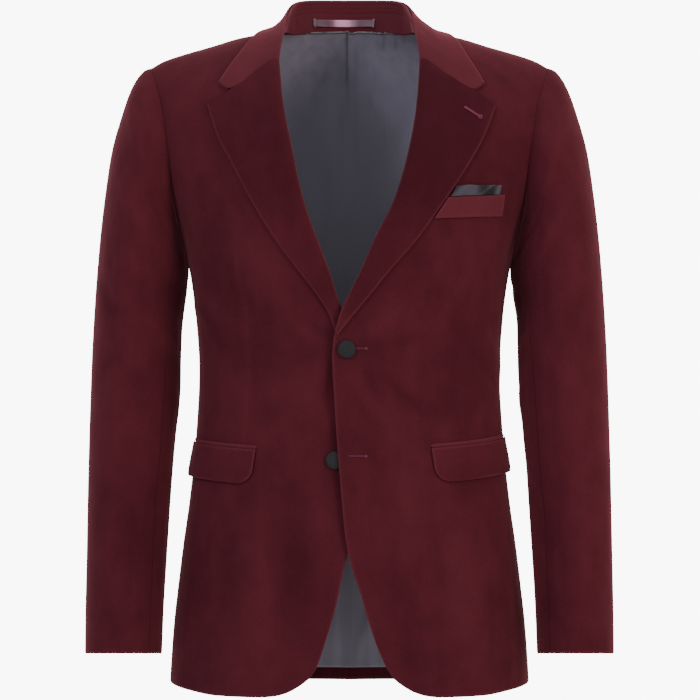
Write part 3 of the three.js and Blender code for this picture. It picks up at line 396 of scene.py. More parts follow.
normalStep = {"turn": 0.25, "share": 0.4, "least": 0.005, "most": 1}  # how far its neighbours lie


def bodyNormal(angle, z):
    x = bodyForm(angle, z)[..., 0]
    room = shoulderHeight(np.abs(x)) - z
    step = np.clip(room * normalStep["share"], normalStep["least"], normalStep["most"])
    turn = math.radians(normalStep["turn"])
    across = bodyForm(angle + turn, z) - bodyForm(angle - turn, z)
    up = bodyForm(angle, z + step) - bodyForm(angle, z - step)
    normal = np.cross(across, up)
    slope = shoulderHeight(np.abs(x) + 1) - shoulderHeight(np.abs(x) - 1)
    ridge = np.stack([-np.sign(x) * slope / 2, 0 * x, 1 + 0 * x], -1)
    return unit(np.where((room < bodyCut["ridgeRoom"])[..., None], ridge, normal))


def angleAt(x, z):
    share = np.clip(np.abs(x) / bodyWidth(z), 0, 1)
    return np.sign(x) * np.arcsin(share ** (bodyCut["power"] / 2))


# tone is how much painted light and shade follow the folds' height
foldLook = {"crease": 1.5, "tone": 0.13, "skirt": (-500, -725), "fromButton": 18}


# Strength of a fold at points given by their distance from its middle, along and across it
def foldShare(fold, x, z):
    lean = math.radians(fold["lean"])
    dx, dz = x - fold["x"], z - fold["z"]
    along = dx * math.cos(lean) + dz * math.sin(lean)
    aside = dz * math.cos(lean) - dx * math.sin(lean)
    return bump(0, fold["reach"], along) * bump(0, fold["spread"], aside)


def bodyFold(side, angle, z):
    spot = bodyForm(angle, z)
    x = spot[..., 0]
    degrees = np.degrees(np.abs(angle))
    skirt = ease(*foldLook["skirt"], z)
    out = 0 * z
    for wave in skirtWaves:
        out = out + wave["height"] * skirt * bump(wave["turn"], wave["spread"], degrees)
    fore, hind = 0 * z, 0 * z
    dx, dz = side.sign * x - fastened["x"], z - fastened["z"]
    for fold in dragFolds:
        turn = math.radians(fold["turn"])
        along = dx * math.cos(turn) + dz * math.sin(turn)
        aside = dz * math.cos(turn) - dx * math.sin(turn)
        strength = ease(foldLook["fromButton"], fold["peak"], along)
        strength = strength * ease(fold["reach"], fold["peak"], along)
        fore = fore + fold["height"] * strength * bump(0, fold["spread"], aside)
    for fold in side.folds:
        fore = fore + foldLook["crease"] * fold["height"] * foldShare(fold, x, z)
    for fold in backFolds:
        hind = hind + fold["height"] * foldShare({**fold, "reach": fold["reach"] / 2}, x, z)
    for fold in backCreases:
        hind = hind + foldLook["crease"] * fold["height"] * foldShare(fold, x, z)
    return out + np.where(np.cos(angle) > 0, fore, hind)


# Painted light and shade at places of a front or back: lighter on the ridges of its folds, darker in their
# hollows, and the front's own painted patches
def bodyPaintedShade(side, angle, z):
    x = bodyForm(angle, z)[..., 0]
    tone = foldLook["tone"] * bodyFold(side, angle, z)
    patches = 0 * z
    for patch in side.paintedPatches:
        patches = patches + patch["height"] * foldShare(patch, x, z)
    return tone + np.where(np.cos(angle) > 0, patches, 0)


# Smaller folds of each half of the back, placed as its front's are
backCreases = table(
    "x z lean height reach spread",
    (40, -372, 8, 1.3, 46, 8),
    (52, -352, 14, -1.2, 44, 7),
    (104, -392, -20, 1.2, 40, 8),
    (120, -368, -28, -1.3, 38, 7),
    (60, -120, 62, 1.1, 60, 14),
    (96, -170, 74, -1.3, 62, 12),
    (150, -140, 80, 1.5, 52, 10),
    (168, -190, 84, -1.4, 42, 9),
    (44, -560, 88, 1.4, 84, 14),
    (82, -600, 92, -1.5, 80, 13),
    (124, -620, 87, 1.4, 74, 13),
)


# The left front lies over the right one round the buttons
overlap = {"x": (74, 26), "z": (-205, -285), "over": (4.7, 1.7), "lower": (-520, -640), "under": 1.7}


def frontLap(side, angle, z):
    x = bodyForm(angle, z)[..., 0]
    near = ease(*overlap["x"], x) * ease(*overlap["z"], z)
    over = mix(*overlap["over"], ease(*overlap["lower"], z))
    lap = -overlap["under"] * near if side.sign < 0 else over * near
    return np.where(np.cos(angle) < 0, 0, lap)


def bodyPoint(side, angle, z, lift=0.0):
    normal = bodyNormal(angle, z)
    out = bodyFold(side, angle, z) + frontLap(side, angle, z) + lift
    return bodyForm(angle, z) + normal * out[..., None], normal


def frontPoint(side, x, z, lift):
    return bodyPoint(side, angleAt(x, z), z, lift)


# Armhole seam at an angle round it, from the shoulder tip down the front
def armholeSpot(turn):
    half = (bodyCut["armholeTop"] - bodyCut["underarm"]) / 2
    z = bodyCut["underarm"] + half * (1 + np.cos(np.radians(turn)))
    angle = angleAt(armholeX(z), z)
    return np.where(turn > 180, math.pi - angle, angle), z


def shoulderSpot(angle):
    z = 0 * angle + bodyCut["armholeTop"] / 2
    for _ in range(8):  # settles on the shoulder line
        z = shoulderHeight(np.abs(bodyForm(angle, z)[..., 0]))
    return angle, z


def hemHeight(angle, side=left):
    x = np.abs(bodyForm(angle, bodyCut["hem"])[..., 0])
    lower = bodyCut["rightHemShift"]
    shift = lower["most"] * ease(*lower["x"], x) if side.sign < 0 else 0
    return np.where(np.cos(angle) > 0, hemFront(x + shift), hemBack(x))


# Angles and heights inside a panel, blended from its top row, its two sides and its hem.
# Borders are pairs of arrays (angle, z), and v is the share of the way down of each row.
def panelSpots(top, leftSide, rightSide, hem, v):
    span = top[0][-1] - top[0][0]
    u = (top[0] - top[0][0])[None, :] / span
    v = v[:, None]
    hemAngle = mix(leftSide[0][-1], rightSide[0][-1], u)
    topMove = top[1][None, :] - mix(leftSide[1][0], rightSide[1][0], u)
    hemMove = hem(hemAngle) - mix(leftSide[1][-1], rightSide[1][-1], u)
    angle = mix(leftSide[0][:, None], rightSide[0][:, None], u)
    z = mix(leftSide[1][:, None], rightSide[1][:, None], u) + (1 - v) * topMove + v * hemMove
    return angle, z


def joined(first, second):
    return tuple(np.concatenate([a, b[1:]]) for a, b in zip(first, second))


def seamSpots(start, hemAngle, rows):
    t = np.linspace(0, 1, rows + 1)
    return mix(start[0], hemAngle, t), mix(start[1], hemHeight(np.array(hemAngle)), t)


# Normals of a grid of points from their neighbours; the columns may close into a ring
def withNormals(points, ring=False, facing=1):
    if ring:
        across = np.roll(points, -1, 1) - np.roll(points, 1, 1)
    else:
        across = np.gradient(points, axis=1)
    return unit(np.cross(across, np.gradient(points, axis=0))) * facing


# Fine rows stand close to a border, so that an edge can be rounded. Their distances from it are
# shares of the rounding width, and a depth is a share of the cloth's thickness.
edges = {
    "steps": np.array((0.0, 0.04, 0.14, 0.34, 0.65, 1.1)),
    "free": {"width": 2.8, "depth": 0.46}, "sewn": {"width": 1.1, "depth": 0.09},
    "narrow": 5,  # the width is at most this part of a narrow piece
    # light is how far from a border the painted edge highlight and the painted seam shade reach
    "light": 2.6, "far": 99,
}


def lineLengths(points):
    step = np.linalg.norm(np.diff(points, axis=0), axis=-1)
    return np.concatenate([np.zeros((1, points.shape[1])), np.cumsum(step, 0)])


# The rounding radius at each line across a piece, smaller where the piece is narrow
def localRadius(radius, total):
    return np.minimum(radius, total / edges["narrow"])


# The same grid with fine rows along its first and last border, which are moved in by their gaps
def fineRows(values, radii, gaps):
    along = lineLengths(values[..., :3])
    made = []
    for j in range(values.shape[1]):
        total = along[-1, j]
        near = gaps[0] + edges["steps"] * localRadius(radii[0], total)
        far = total - gaps[1] - edges["steps"][::-1] * localRadius(radii[1], total)
        wanted = np.concatenate([near, mix(near[-1], far[0], along[1:-1, j] / total), far])
        made.append([np.interp(wanted, along[:, j], column) for column in values[:, j].T])
    return np.array(made).transpose(2, 0, 1)


def turnedGrid(grid):
    return grid.swapaxes(0, 1)


# Closed sheet of cloth behind a grid of outer points (mm), with rounded edges. seams names the
# borders that are sewn, with the gap that each keeps, and the other borders are free edges.
# shade is painted light (above 0) and painted shade (below 0), on ridges, in hollows and in patches.
def clothShell(name, points, normals, thickness, look, sign=1, seams=None, shade=None):
    seams = seams or {}
    roll = {border: edges["sewn" if border in seams else "free"]
            for border in ("top", "bottom", "left", "right")}
    width = {border: roll[border]["width"] for border in roll}
    kept = {border: seams.get(border, 0) for border in roll}
    tone = np.zeros(points.shape[:2]) if shade is None else shade
    values = np.concatenate([points, normals, tone[..., None]], -1)
    values = fineRows(values, (width["top"], width["bottom"]), (kept["top"], kept["bottom"]))
    values = turnedGrid(values)
    values = fineRows(values, (width["left"], width["right"]), (kept["left"], kept["right"]))
    values = turnedGrid(values)
    points, normals, tone = values[..., :3], unit(values[..., 3:6]), values[..., 6]
    rows, columns = points.shape[:2]
    down = lineLengths(points)
    along = turnedGrid(lineLengths(turnedGrid(points)))
    tall, wide = down[-1:] + 0 * down, along[:, -1:] + 0 * along
    distances = {"top": (down, tall), "bottom": (tall - down, tall),
                 "left": (along, wide), "right": (wide - along, wide)}
    drop = 0 * down
    nearest = {"sewn": 0 * down + edges["far"], "free": 0 * down + edges["far"]}
    for border, (distance, total) in distances.items():
        near = np.clip(distance / localRadius(width[border], total), 0, 1)
        fallen = roll[border]["depth"] * thickness * (1 - np.sqrt(1 - (1 - near) ** 2))
        drop = np.maximum(drop, fallen)
        kind = "sewn" if border in seams else "free"
        nearest[kind] = np.minimum(nearest[kind], distance)
    outer = points - normals * drop[..., None]
    inner = points - normals * (thickness - drop)[..., None]
    vertices = np.concatenate([outer.reshape(-1, 3), inner.reshape(-1, 3)]) * (sign, 1, 1) * millimetre
    count = rows * columns
    at = np.arange(count).reshape(rows, columns)
    a, b, c, d = at[:-1, :-1], at[1:, :-1], at[1:, 1:], at[:-1, 1:]
    face = np.stack([a, b, c, d], -1).reshape(-1, 4)
    back = np.stack([d, c, b, a], -1).reshape(-1, 4) + count
    loop = np.concatenate([at[:-1, 0], at[-1, :-1], at[:0:-1, -1], at[0, :0:-1]])
    following = np.roll(loop, -1)
    rim = np.stack([following, loop, loop + count, following + count], -1)
    faces = np.concatenate([face, back, rim])
    i, j = rows // 2, columns // 2
    turned = np.cross(points[i + 1, j] - points[i, j], points[i, j + 1] - points[i, j])
    if np.dot(turned, normals[i, j]) * sign < 0:
        faces = faces[:, ::-1]
    mesh = bpy.data.meshes.new(name)
    mesh.from_pydata(vertices.tolist(), [], faces.tolist())
    mesh.polygons.foreach_set("use_smooth", [True] * len(faces))
    # Painted highlight near free edges
    store(mesh, "freeEdgeHighlight", onBothFaces(np.exp(-((nearest["free"] / edges["light"]) ** 2))))
    # Painted shade near sewn edges
    store(mesh, "seamShade", onBothFaces(np.exp(-((nearest["sewn"] / edges["light"]) ** 2))))
    # Painted light and shade of each place
    store(mesh, "shade", onBothFaces(tone))
    store(mesh, "inside", np.concatenate([np.zeros(count), np.ones(count)]))
    flat = np.stack([along, down], -1).reshape(-1, 2) * millimetre
    flat = np.concatenate([flat, flat])
    layer = mesh.uv_layers.new(name="UVMap")
    corners = np.zeros(len(mesh.loops), int)
    mesh.loops.foreach_get("vertex_index", corners)
    layer.data.foreach_set("uv", flat[corners].ravel())
    return place(name, mesh, look)


def onBothFaces(values):
    return np.concatenate([values.ravel(), values.ravel()])


def store(mesh, name, values):
    layer = mesh.attributes.new(name, "FLOAT", "POINT")
    layer.data.foreach_set("value", np.asarray(values, float).ravel())


def place(name, mesh, look):
    mesh.update()
    mesh.materials.append(look)
    made = bpy.data.objects.new(name, mesh)
    bpy.context.scene.collection.objects.link(made)
    return made


def steps(count):
    return max(4, count // coarse)


def newMaterial(name):
    made = bpy.data.materials.new(name)
    made.use_nodes = True
    nodes = made.node_tree.nodes
    return made, nodes, made.node_tree.links, nodes["Principled BSDF"]


def setSockets(shader, values):
    for name, value in values.items():
        shader.inputs[name].default_value = value


def addNode(nodes, kind, **inputs):
    made = nodes.new(kind)
    for name, value in inputs.items():
        setattr(made, name, value)
    return made


# Patches where the nap lies differently, long soft streaks and fine grain, as one mask
napLook = {
    "patches": {"scale": 11, "detail": 3, "stretch": (1, 1, 0.7)},
    "spots": {"scale": 48, "detail": 4, "stretch": (1, 1, 0.8)},
    "streaks": {"scale": 60, "detail": 2, "stretch": (1, 1, 0.12)},
    "grain": {"scale": 500, "detail": 3, "stretch": (1, 1, 0.7)},
    "hills": {"scale": 22, "detail": 3, "stretch": (1, 1, 0.6)},
    "spotShare": 0.4, "streakShare": 0.14, "grainShare": 0.2, "grainRelief": 0.08,
    "relief": {"Strength": 0.45, "Distance": 0.006},
}


def newGroup(name):
    group = bpy.data.node_groups.new(name, "ShaderNodeTree")
    group.interface.new_socket("Mask", in_out="OUTPUT", socket_type="NodeSocketFloat")
    group.interface.new_socket("Normal", in_out="OUTPUT", socket_type="NodeSocketVector")
    out = group.nodes.new("NodeGroupOutput")
    return group, group.nodes, group.links, out, group.nodes.new("ShaderNodeTexCoord")


def napGroup():
    group, nodes, links, out, coordinates = newGroup("napMask")
    patches, spots, streaks, grain, hills = [
        noise(nodes, links, coordinates, **napLook[name])
        for name in ("patches", "spots", "streaks", "grain", "hills")]
    first = blend(nodes, links, patches, spots, napLook["spotShare"])
    second = blend(nodes, links, first, streaks, napLook["streakShare"])
    links.new(blend(nodes, links, second, grain, napLook["grainShare"]), out.inputs["Mask"])
    height = blend(nodes, links, hills, grain, napLook["grainRelief"])
    links.new(raised(nodes, links, height, napLook["relief"]), out.inputs["Normal"])
    return group


# Broad and fine streaks of satin as one mask, and its soft waves
satinStreaks = {
    "broad": {"scale": 14, "detail": 3, "stretch": (1, 1, 0.5)},
    "fine": {"scale": 90, "detail": 3, "stretch": (1, 1, 0.05)},
    "waves": {"scale": 24, "detail": 3, "stretch": (1, 1, 0.4)},
    "fineShare": 0.6, "relief": {"Strength": 0.3, "Distance": 0.004},
}


def satinGroup():
    group, nodes, links, out, coordinates = newGroup("satinMask")
    broad, fine, waves = [noise(nodes, links, coordinates, **satinStreaks[name])
                          for name in ("broad", "fine", "waves")]
    links.new(blend(nodes, links, broad, fine, satinStreaks["fineShare"]), out.inputs["Mask"])
    links.new(raised(nodes, links, waves, satinStreaks["relief"]), out.inputs["Normal"])
    return group


def raised(nodes, links, height, relief):
    made = nodes.new("ShaderNodeBump")
    setSockets(made, relief)
    links.new(height, made.inputs["Height"])
    return made.outputs["Normal"]


def noise(nodes, links, coordinates, scale, detail, stretch):
    mapping = nodes.new("ShaderNodeMapping")
    mapping.inputs["Scale"].default_value = stretch
    texture = nodes.new("ShaderNodeTexNoise")
    texture.inputs["Scale"].default_value = scale
    texture.inputs["Detail"].default_value = detail
    links.new(coordinates.outputs["Object"], mapping.inputs["Vector"])
    links.new(mapping.outputs["Vector"], texture.inputs["Vector"])
    return texture.outputs["Fac"]


def blend(nodes, links, first, second, share):
    made = addNode(nodes, "ShaderNodeMix", data_type="FLOAT")
    made.inputs["Factor"].default_value = share
    links.new(first, made.inputs["A"])
    links.new(second, made.inputs["B"])
    return made.outputs["Result"]


def colourMix(nodes, links, factor, first, second):
    made = addNode(nodes, "ShaderNodeMix", data_type="RGBA")
    sockets = [s for s in made.inputs if s.type == "RGBA"]
    for socket, value in zip(sockets, (first, second)):
        if isinstance(value, tuple):
            socket.default_value = (*value, 1)
        else:
            links.new(value, socket)
    if isinstance(factor, float):
        made.inputs["Factor"].default_value = factor
    else:
        links.new(factor, made.inputs["Factor"])
    return next(s for s in made.outputs if s.type == "RGBA")


def attribute(nodes, name):
    made = nodes.new("ShaderNodeAttribute")
    made.attribute_name = name
    return made.outputs["Fac"]


def curved(nodes, links, value, low, high, start=0.0, end=1.0):
    made = nodes.new("ShaderNodeMapRange")
    made.interpolation_type = "SMOOTHSTEP"
    made.inputs["From Min"].default_value = low
    made.inputs["From Max"].default_value = high
    made.inputs["To Min"].default_value = start
    made.inputs["To Max"].default_value = end
    links.new(value, made.inputs["Value"])
    return made.outputs["Result"]


# The mask of a cloth with the painted light and shade of each place added
def withPaintedShade(nodes, links, mask, strength):
    shade = addNode(nodes, "ShaderNodeMath", operation="MULTIPLY_ADD")
    links.new(attribute(nodes, "shade"), shade.inputs[0])
    shade.inputs[1].default_value = strength
    links.new(mask, shade.inputs[2])
    return shade.outputs["Value"]


# curve, edgeHighlightLine, seamShadeLine and hidden say from which value to which a mask grows, and how
# far. light is a painted highlight along free edges; seam is painted shade at sewn edges and, through
# hidden, where the painted shade runs deepest.
velvetLook = {
    "dark": (0.028, 0.0038, 0.0071), "base": (0.061, 0.0095, 0.0153), "light": (0.09, 0.018, 0.026),
    "seam": (0.012, 0.0014, 0.0026), "paintedShadeStrength": 0.18, "curve": (0.16, 0.86),
    "edgeHighlightLine": (0.1, 1.0, 0, 0.4), "seamShadeLine": (0.84, 1.0, 0, 0.45), "hidden": (-3.6, -2.4, 0.85, 0),
    "roughness": 0.95, "shine": 0.05, "sheen": 0.24, "sheenRoughness": 0.4, "tint": (0.85, 0.25, 0.31),
}
liftedLook = {**velvetLook, "dark": (0.05, 0.0085, 0.0135), "base": (0.08, 0.0145, 0.022), "sheen": 0.34}


# Velvet: nap patches with painted light and shade between dark and base, a painted highlight along free
# edges, and painted shade at seams and where the painted shade runs deepest
def velvetMaterial(name, look, group):
    made, nodes, links, shader = newMaterial(name)
    nap = addNode(nodes, "ShaderNodeGroup", node_tree=group)
    mask = withPaintedShade(nodes, links, nap.outputs["Mask"], look["paintedShadeStrength"])
    patches = curved(nodes, links, mask, *look["curve"])
    base = colourMix(nodes, links, patches, look["dark"], look["base"])
    # Painted highlight: the light colour along free edges
    edge = curved(nodes, links, attribute(nodes, "freeEdgeHighlight"), *look["edgeHighlightLine"])
    edgeHighlighted = colourMix(nodes, links, edge, base, look["light"])
    # Painted shade: the dark seam colour along sewn edges
    sewn = curved(nodes, links, attribute(nodes, "seamShade"), *look["seamShadeLine"])
    seamShaded = colourMix(nodes, links, sewn, edgeHighlighted, look["seam"])
    # Painted shadow: where the painted shade runs deepest, the colour goes towards the dark seam colour
    hidden = curved(nodes, links, attribute(nodes, "shade"), *look["hidden"])
    links.new(colourMix(nodes, links, hidden, seamShaded, look["seam"]), shader.inputs["Base Color"])
    links.new(nap.outputs["Normal"], shader.inputs["Normal"])
    setSockets(shader, {
        "Roughness": look["roughness"], "Specular IOR Level": look["shine"],
        "Sheen Weight": look["sheen"], "Sheen Roughness": look["sheenRoughness"],
        "Sheen Tint": (*look["tint"], 1),
    })
    return made


satinLook = {"curve": (-0.1, 0.75), "seamShadeLine": (0.3, 1.0, 0, 0.9), "paintedShadeStrength": 0.2,
             "sheenRoughness": 0.4, "anisotropic": 0.4}
liningLook = {**satinLook, "dark": (0.085, 0.08, 0.106), "base": (0.212, 0.2, 0.266),
              "seam": (0.02, 0.014, 0.02), "roughness": 0.45, "sheen": 0.2, "shine": 0.4}
squareLook = {**satinLook, "dark": (0.003, 0.0027, 0.004), "base": (0.038, 0.035, 0.047),
              "seam": (0.004, 0.004, 0.005), "roughness": 0.62, "sheen": 0.03, "shine": 0.15}
loopLook = {**satinLook, "dark": (0.055, 0.018, 0.034), "base": (0.42, 0.2, 0.29),
            "seam": (0.05, 0.02, 0.03), "roughness": 0.4, "sheen": 0.06, "shine": 0.4}


# Satin: streaks with painted light and shade between dark and base, and painted shade along sewn edges
def satinMaterial(name, look, group):
    made, nodes, links, shader = newMaterial(name)
    streaks = addNode(nodes, "ShaderNodeGroup", node_tree=group)
    mask = withPaintedShade(nodes, links, streaks.outputs["Mask"], look["paintedShadeStrength"])
    colour = colourMix(nodes, links, curved(nodes, links, mask, *look["curve"]), look["dark"], look["base"])
    # Painted shade: the dark seam colour along sewn edges
    sewn = curved(nodes, links, attribute(nodes, "seamShade"), *look["seamShadeLine"])
    links.new(colourMix(nodes, links, sewn, colour, look["seam"]), shader.inputs["Base Color"])
    links.new(streaks.outputs["Normal"], shader.inputs["Normal"])
    setSockets(shader, {
        "Roughness": look["roughness"], "Specular IOR Level": look["shine"],
        "Sheen Weight": look["sheen"], "Sheen Roughness": look["sheenRoughness"],
        "Anisotropic": look["anisotropic"],
    })
    return made


# Cloth of the buttons, and threads
plainLook = {"curve": (0.35, 0.65), "detail": 2, "relief": {"Strength": 0.4, "Distance": 0.0004}}
buttonLook = {**plainLook, "dark": (0.007, 0.0072, 0.009), "base": (0.013, 0.0128, 0.016),
              "scale": 1400, "roughness": 0.75, "shine": 0.18}
pinkLook = {**plainLook, "dark": (0.085, 0.007, 0.028), "base": (0.13, 0.013, 0.048),
            "scale": 2000, "roughness": 0.6, "shine": 0.3}
greyLook = {**plainLook, "dark": (0.1, 0.065, 0.085), "base": (0.19, 0.13, 0.16),
            "scale": 2000, "roughness": 0.5, "shine": 0.3}


def plainMaterial(name, look):
    made, nodes, links, shader = newMaterial(name)
    coordinates = nodes.new("ShaderNodeTexCoord")
    shade = noise(nodes, links, coordinates, look["scale"], look["detail"], (1, 1, 1))
    mask = curved(nodes, links, shade, *look["curve"])
    links.new(colourMix(nodes, links, mask, look["dark"], look["base"]), shader.inputs["Base Color"])
    links.new(raised(nodes, links, shade, look["relief"]), shader.inputs["Normal"])
    setSockets(shader, {"Roughness": look["roughness"], "Specular IOR Level": look["shine"]})
    return made


nap, streaks = napGroup(), satinGroup()
velvetCloth = velvetMaterial("velvetCloth", velvetLook, nap)
velvetLifted = velvetMaterial("velvetLifted", liftedLook, nap)
liningSatin = satinMaterial("liningSatin", liningLook, streaks)
squareSatin = satinMaterial("squareSatin", squareLook, streaks)
loopSatin = satinMaterial("loopSatin", loopLook, streaks)
buttonCloth = plainMaterial("buttonCloth", buttonLook)
pinkThread = plainMaterial("pinkThread", pinkLook)
greyThread = plainMaterial("greyThread", greyLook)
print("materials made")


def armholeBorder(start, end, rows):
    return armholeSpot(np.linspace(start, end, rows + 1))


# The front's edge is drawn back under the lapel, from above its break to below the neck
frontCut = {"columns": 72, "drawn": 4.4, "aboveBreak": 22, "belowNeck": -30}


def frontEdgeSpot(side, z):
    rise = ease(bodyCut["break"], bodyCut["break"] + frontCut["aboveBreak"], z)
    drawn = frontCut["drawn"] * rise * ease(bodyCut["neckZ"], frontCut["belowNeck"], z)
    return angleAt(side.edge(z) + drawn, z), z


def rowShares(armholeRows, seamRows):
    upper = np.linspace(0, bodyCut["armholeShare"], armholeRows + 1)
    return np.concatenate([upper, np.linspace(bodyCut["armholeShare"], 1, seamRows + 1)[1:]])


bodyRows = {"armhole": steps(64), "seam": steps(140)}


def frontSpots(side, columns):
    armhole = armholeBorder(0, bodyCut["sideSeamTurn"], bodyRows["armhole"])
    start = (armhole[0][-1], armhole[1][-1])
    rightSide = joined(armhole, seamSpots(start, math.radians(bodyCut["foreSeam"]), bodyRows["seam"]))
    upper = bodyCut["neckZ"] - (bodyCut["armholeTop"] - armhole[1])
    lower = np.linspace(upper[-1], bodyCut["frontCorner"], bodyRows["seam"] + 1)[1:]
    leftSide = frontEdgeSpot(side, np.concatenate([upper, lower]))
    leftSide[0][0] = angleAt(bodyCut["neckX"], bodyCut["neckZ"])
    top = shoulderSpot(np.linspace(leftSide[0][0], rightSide[0][0], columns + 1))
    top[1][0], top[1][-1] = bodyCut["neckZ"], rightSide[1][0]
    shares = rowShares(bodyRows["armhole"], bodyRows["seam"])
    return panelSpots(top, leftSide, rightSide, lambda angle: hemHeight(angle, side), shares)


def dartDip(side, angle, z):
    x = bodyForm(angle, z)[..., 0]
    rows = side.dart
    line = columnCurve(rows, "z", "x")(z)
    head = rows[-1]["z"]
    strength = ease(head + darts["above"], head - darts["below"], z) * (z > rows[0]["z"])
    away = x - line
    pinched = bump(0, darts["line"], away) + darts["slopeShare"] * bump(0, darts["slope"], away)
    return -strength * darts["pinch"][side.label] * pinched


def frontPanel(side):
    angle, z = frontSpots(side, steps(frontCut["columns"]))
    dip = dartDip(side, angle, z)
    points, normals = bodyPoint(side, angle, z, dip)
    # Painted light and shade of the folds and patches, and painted light along the dart
    tone = bodyPaintedShade(side, angle, z) + darts["tone"][side.label] * dip
    return clothShell(f"frontCloth_{side.label}", points, normals, cloth["velvet"], velvetCloth,
                      side.sign, {"top": gap["seam"], "right": gap["seam"]}, tone)


sideCut = {"columns": 30}


def sidePanel(side):
    start, end = bodyCut["sideSeamTurn"], 360 - bodyCut["sideSeamTurn"]
    top = armholeBorder(start, end, steps(sideCut["columns"]))
    leftSide = seamSpots((top[0][0], top[1][0]), math.radians(bodyCut["foreSeam"]), bodyRows["seam"])
    rightSide = seamSpots((top[0][-1], top[1][-1]), math.radians(bodyCut["hindSeam"]), bodyRows["seam"])
    shares = np.linspace(0, 1, bodyRows["seam"] + 1)
    angle, z = panelSpots(top, leftSide, rightSide, hemHeight, shares)
    points, normals = bodyPoint(side, angle, z)
    return clothShell(f"sideCloth_{side.label}", points, normals, cloth["velvet"], velvetCloth,
                      side.sign, {"top": gap["seam"], "left": gap["seam"], "right": gap["seam"]})


# A panel of the back, or the lining behind it, which is set in from the panel's borders: turn is in
# degrees at the armhole, drop at the shoulder, neck and rise at the neck and at the hem.
backCut = {"neckColumns": 28, "shoulderColumns": 60, "turn": 0, "drop": 0, "neck": 0, "rise": 0,
           "dropShare": 0.4}


def backSpots(neckColumns, shoulderColumns, turn, drop, neck, rise, dropShare):
    armhole = armholeBorder(360, 360 - bodyCut["sideSeamTurn"], bodyRows["armhole"])
    start = (armhole[0][-1], armhole[1][-1])
    border = joined(armhole, seamSpots(start, math.radians(bodyCut["hindSeam"]), bodyRows["seam"]))
    sunk = drop * np.clip(1 - np.arange(len(border[1])) / (dropShare * bodyRows["armhole"]), 0, 1)
    rightSide = (border[0] + math.radians(turn), border[1] - sunk)
    upper = bodyCut["backNeck"] - neck - (bodyCut["armholeTop"] - armhole[1])
    hemMiddle = float(hemHeight(np.array(math.pi)))
    lower = np.linspace(upper[-1], hemMiddle, bodyRows["seam"] + 1)[1:]
    heights = np.concatenate([upper, lower])
    leftSide = (0 * heights + math.pi, heights)
    x = np.linspace(0, bodyCut["neckX"], steps(neckColumns) + 1)[:-1]
    neckline = (math.pi - angleAt(x, bodyCut["backNeck"]),
                mix(leftSide[1][0], bodyCut["neckZ"] - drop, x / bodyCut["neckX"]))
    neckAngle = math.pi - angleAt(bodyCut["neckX"], bodyCut["neckZ"])
    shoulder = shoulderSpot(np.linspace(neckAngle, rightSide[0][0], steps(shoulderColumns) + 1))
    top = (np.concatenate([neckline[0], shoulder[0]]), np.concatenate([neckline[1], shoulder[1] - drop]))
    top[1][-1] = rightSide[1][0]
    shares = rowShares(bodyRows["armhole"], bodyRows["seam"])
    return panelSpots(top, leftSide, rightSide, lambda a: hemHeight(a) + rise, shares)


def backPanel(side):
    angle, z = backSpots(**backCut)
    points, normals = bodyPoint(side, angle, z)
    seams = {"top": gap["seam"], "left": gap["seam"], "right": gap["seam"]}
    return clothShell(f"backCloth_{side.label}", points, normals, cloth["velvet"], velvetCloth,
                      side.sign, seams, bodyPaintedShade(side, angle, z))


# Lining of the back with its centre pleat, soft folds below it and puckers along the neck seam
liningFolds = table(
    "x z lean height reach spread",
    (-44, -150, 78, 1.6, 70, 9),
    (-20, -190, 86, -1.3, 80, 7),
    (24, -170, 96, 1.5, 84, 8),
    (50, -140, 106, -1.6, 60, 9),
    (34, -70, 132, 1.2, 40, 7),
    (-40, -60, 60, -1.1, 36, 8),
    (6, -280, 88, 1.2, 90, 8),
    (-70, -260, 84, -1.4, 80, 10),
    (70, -250, 94, 1.3, 80, 10),
    (-22, -650, 84, 1.4, 60, 6),
    (16, -690, 76, -1.2, 30, 5),
    (40, -660, 92, 1.5, 50, 8),
)
puckers = table(
    "x height spread", (31, 0.9, 2), (37, 1.4, 2.4), (46, 0.8, 1.6), (51, 1.5, 2.2), (60, 0.9, 2.6),
    (-52, 0.6, 3),
)
lining = {
    "cut": {**backCut, "neckColumns": 36, "shoulderColumns": 34, "turn": 3, "drop": 2.5, "neck": -3.2,
            "rise": 14},
    "neckLift": 0.8, "neckBand": (-60, -12), "puckerBand": (-25, -13), "mostLift": 0.6,
    "pleat": {"height": 2.4, "x": 2.5, "spread": 5, "z": (-200, -20)},
    "groove": {"height": 3, "x": -2.6, "spread": 1.2, "z": (-110, -25)},
    "tone": 0.35, "chest": {"height": 2.4, "z": -190, "spread": 110},  # painted light behind the chest; tone is painted light and shade following the folds
    "hem": {"height": -2, "z": (-540, -620)},  # and painted shade at the hem
    # painted shade along the pleat's groove
    "pleatShade": {"height": 2, "x": -2.6, "spread": 1.3, "z": (-95, -35)},
}


def liningLift(x, z):
    out = 0 * z
    for fold in liningFolds:
        out = out + fold["height"] * foldShare(fold, x, z)
    near = ease(*lining["puckerBand"], z)
    for pucker in puckers:
        out = out - pucker["height"] * near * bump(pucker["x"], pucker["spread"], x)
    return out


def upright(ridge, x, z):
    return ridge["height"] * bump(ridge["x"], ridge["spread"], x) * ease(*ridge["z"], z)


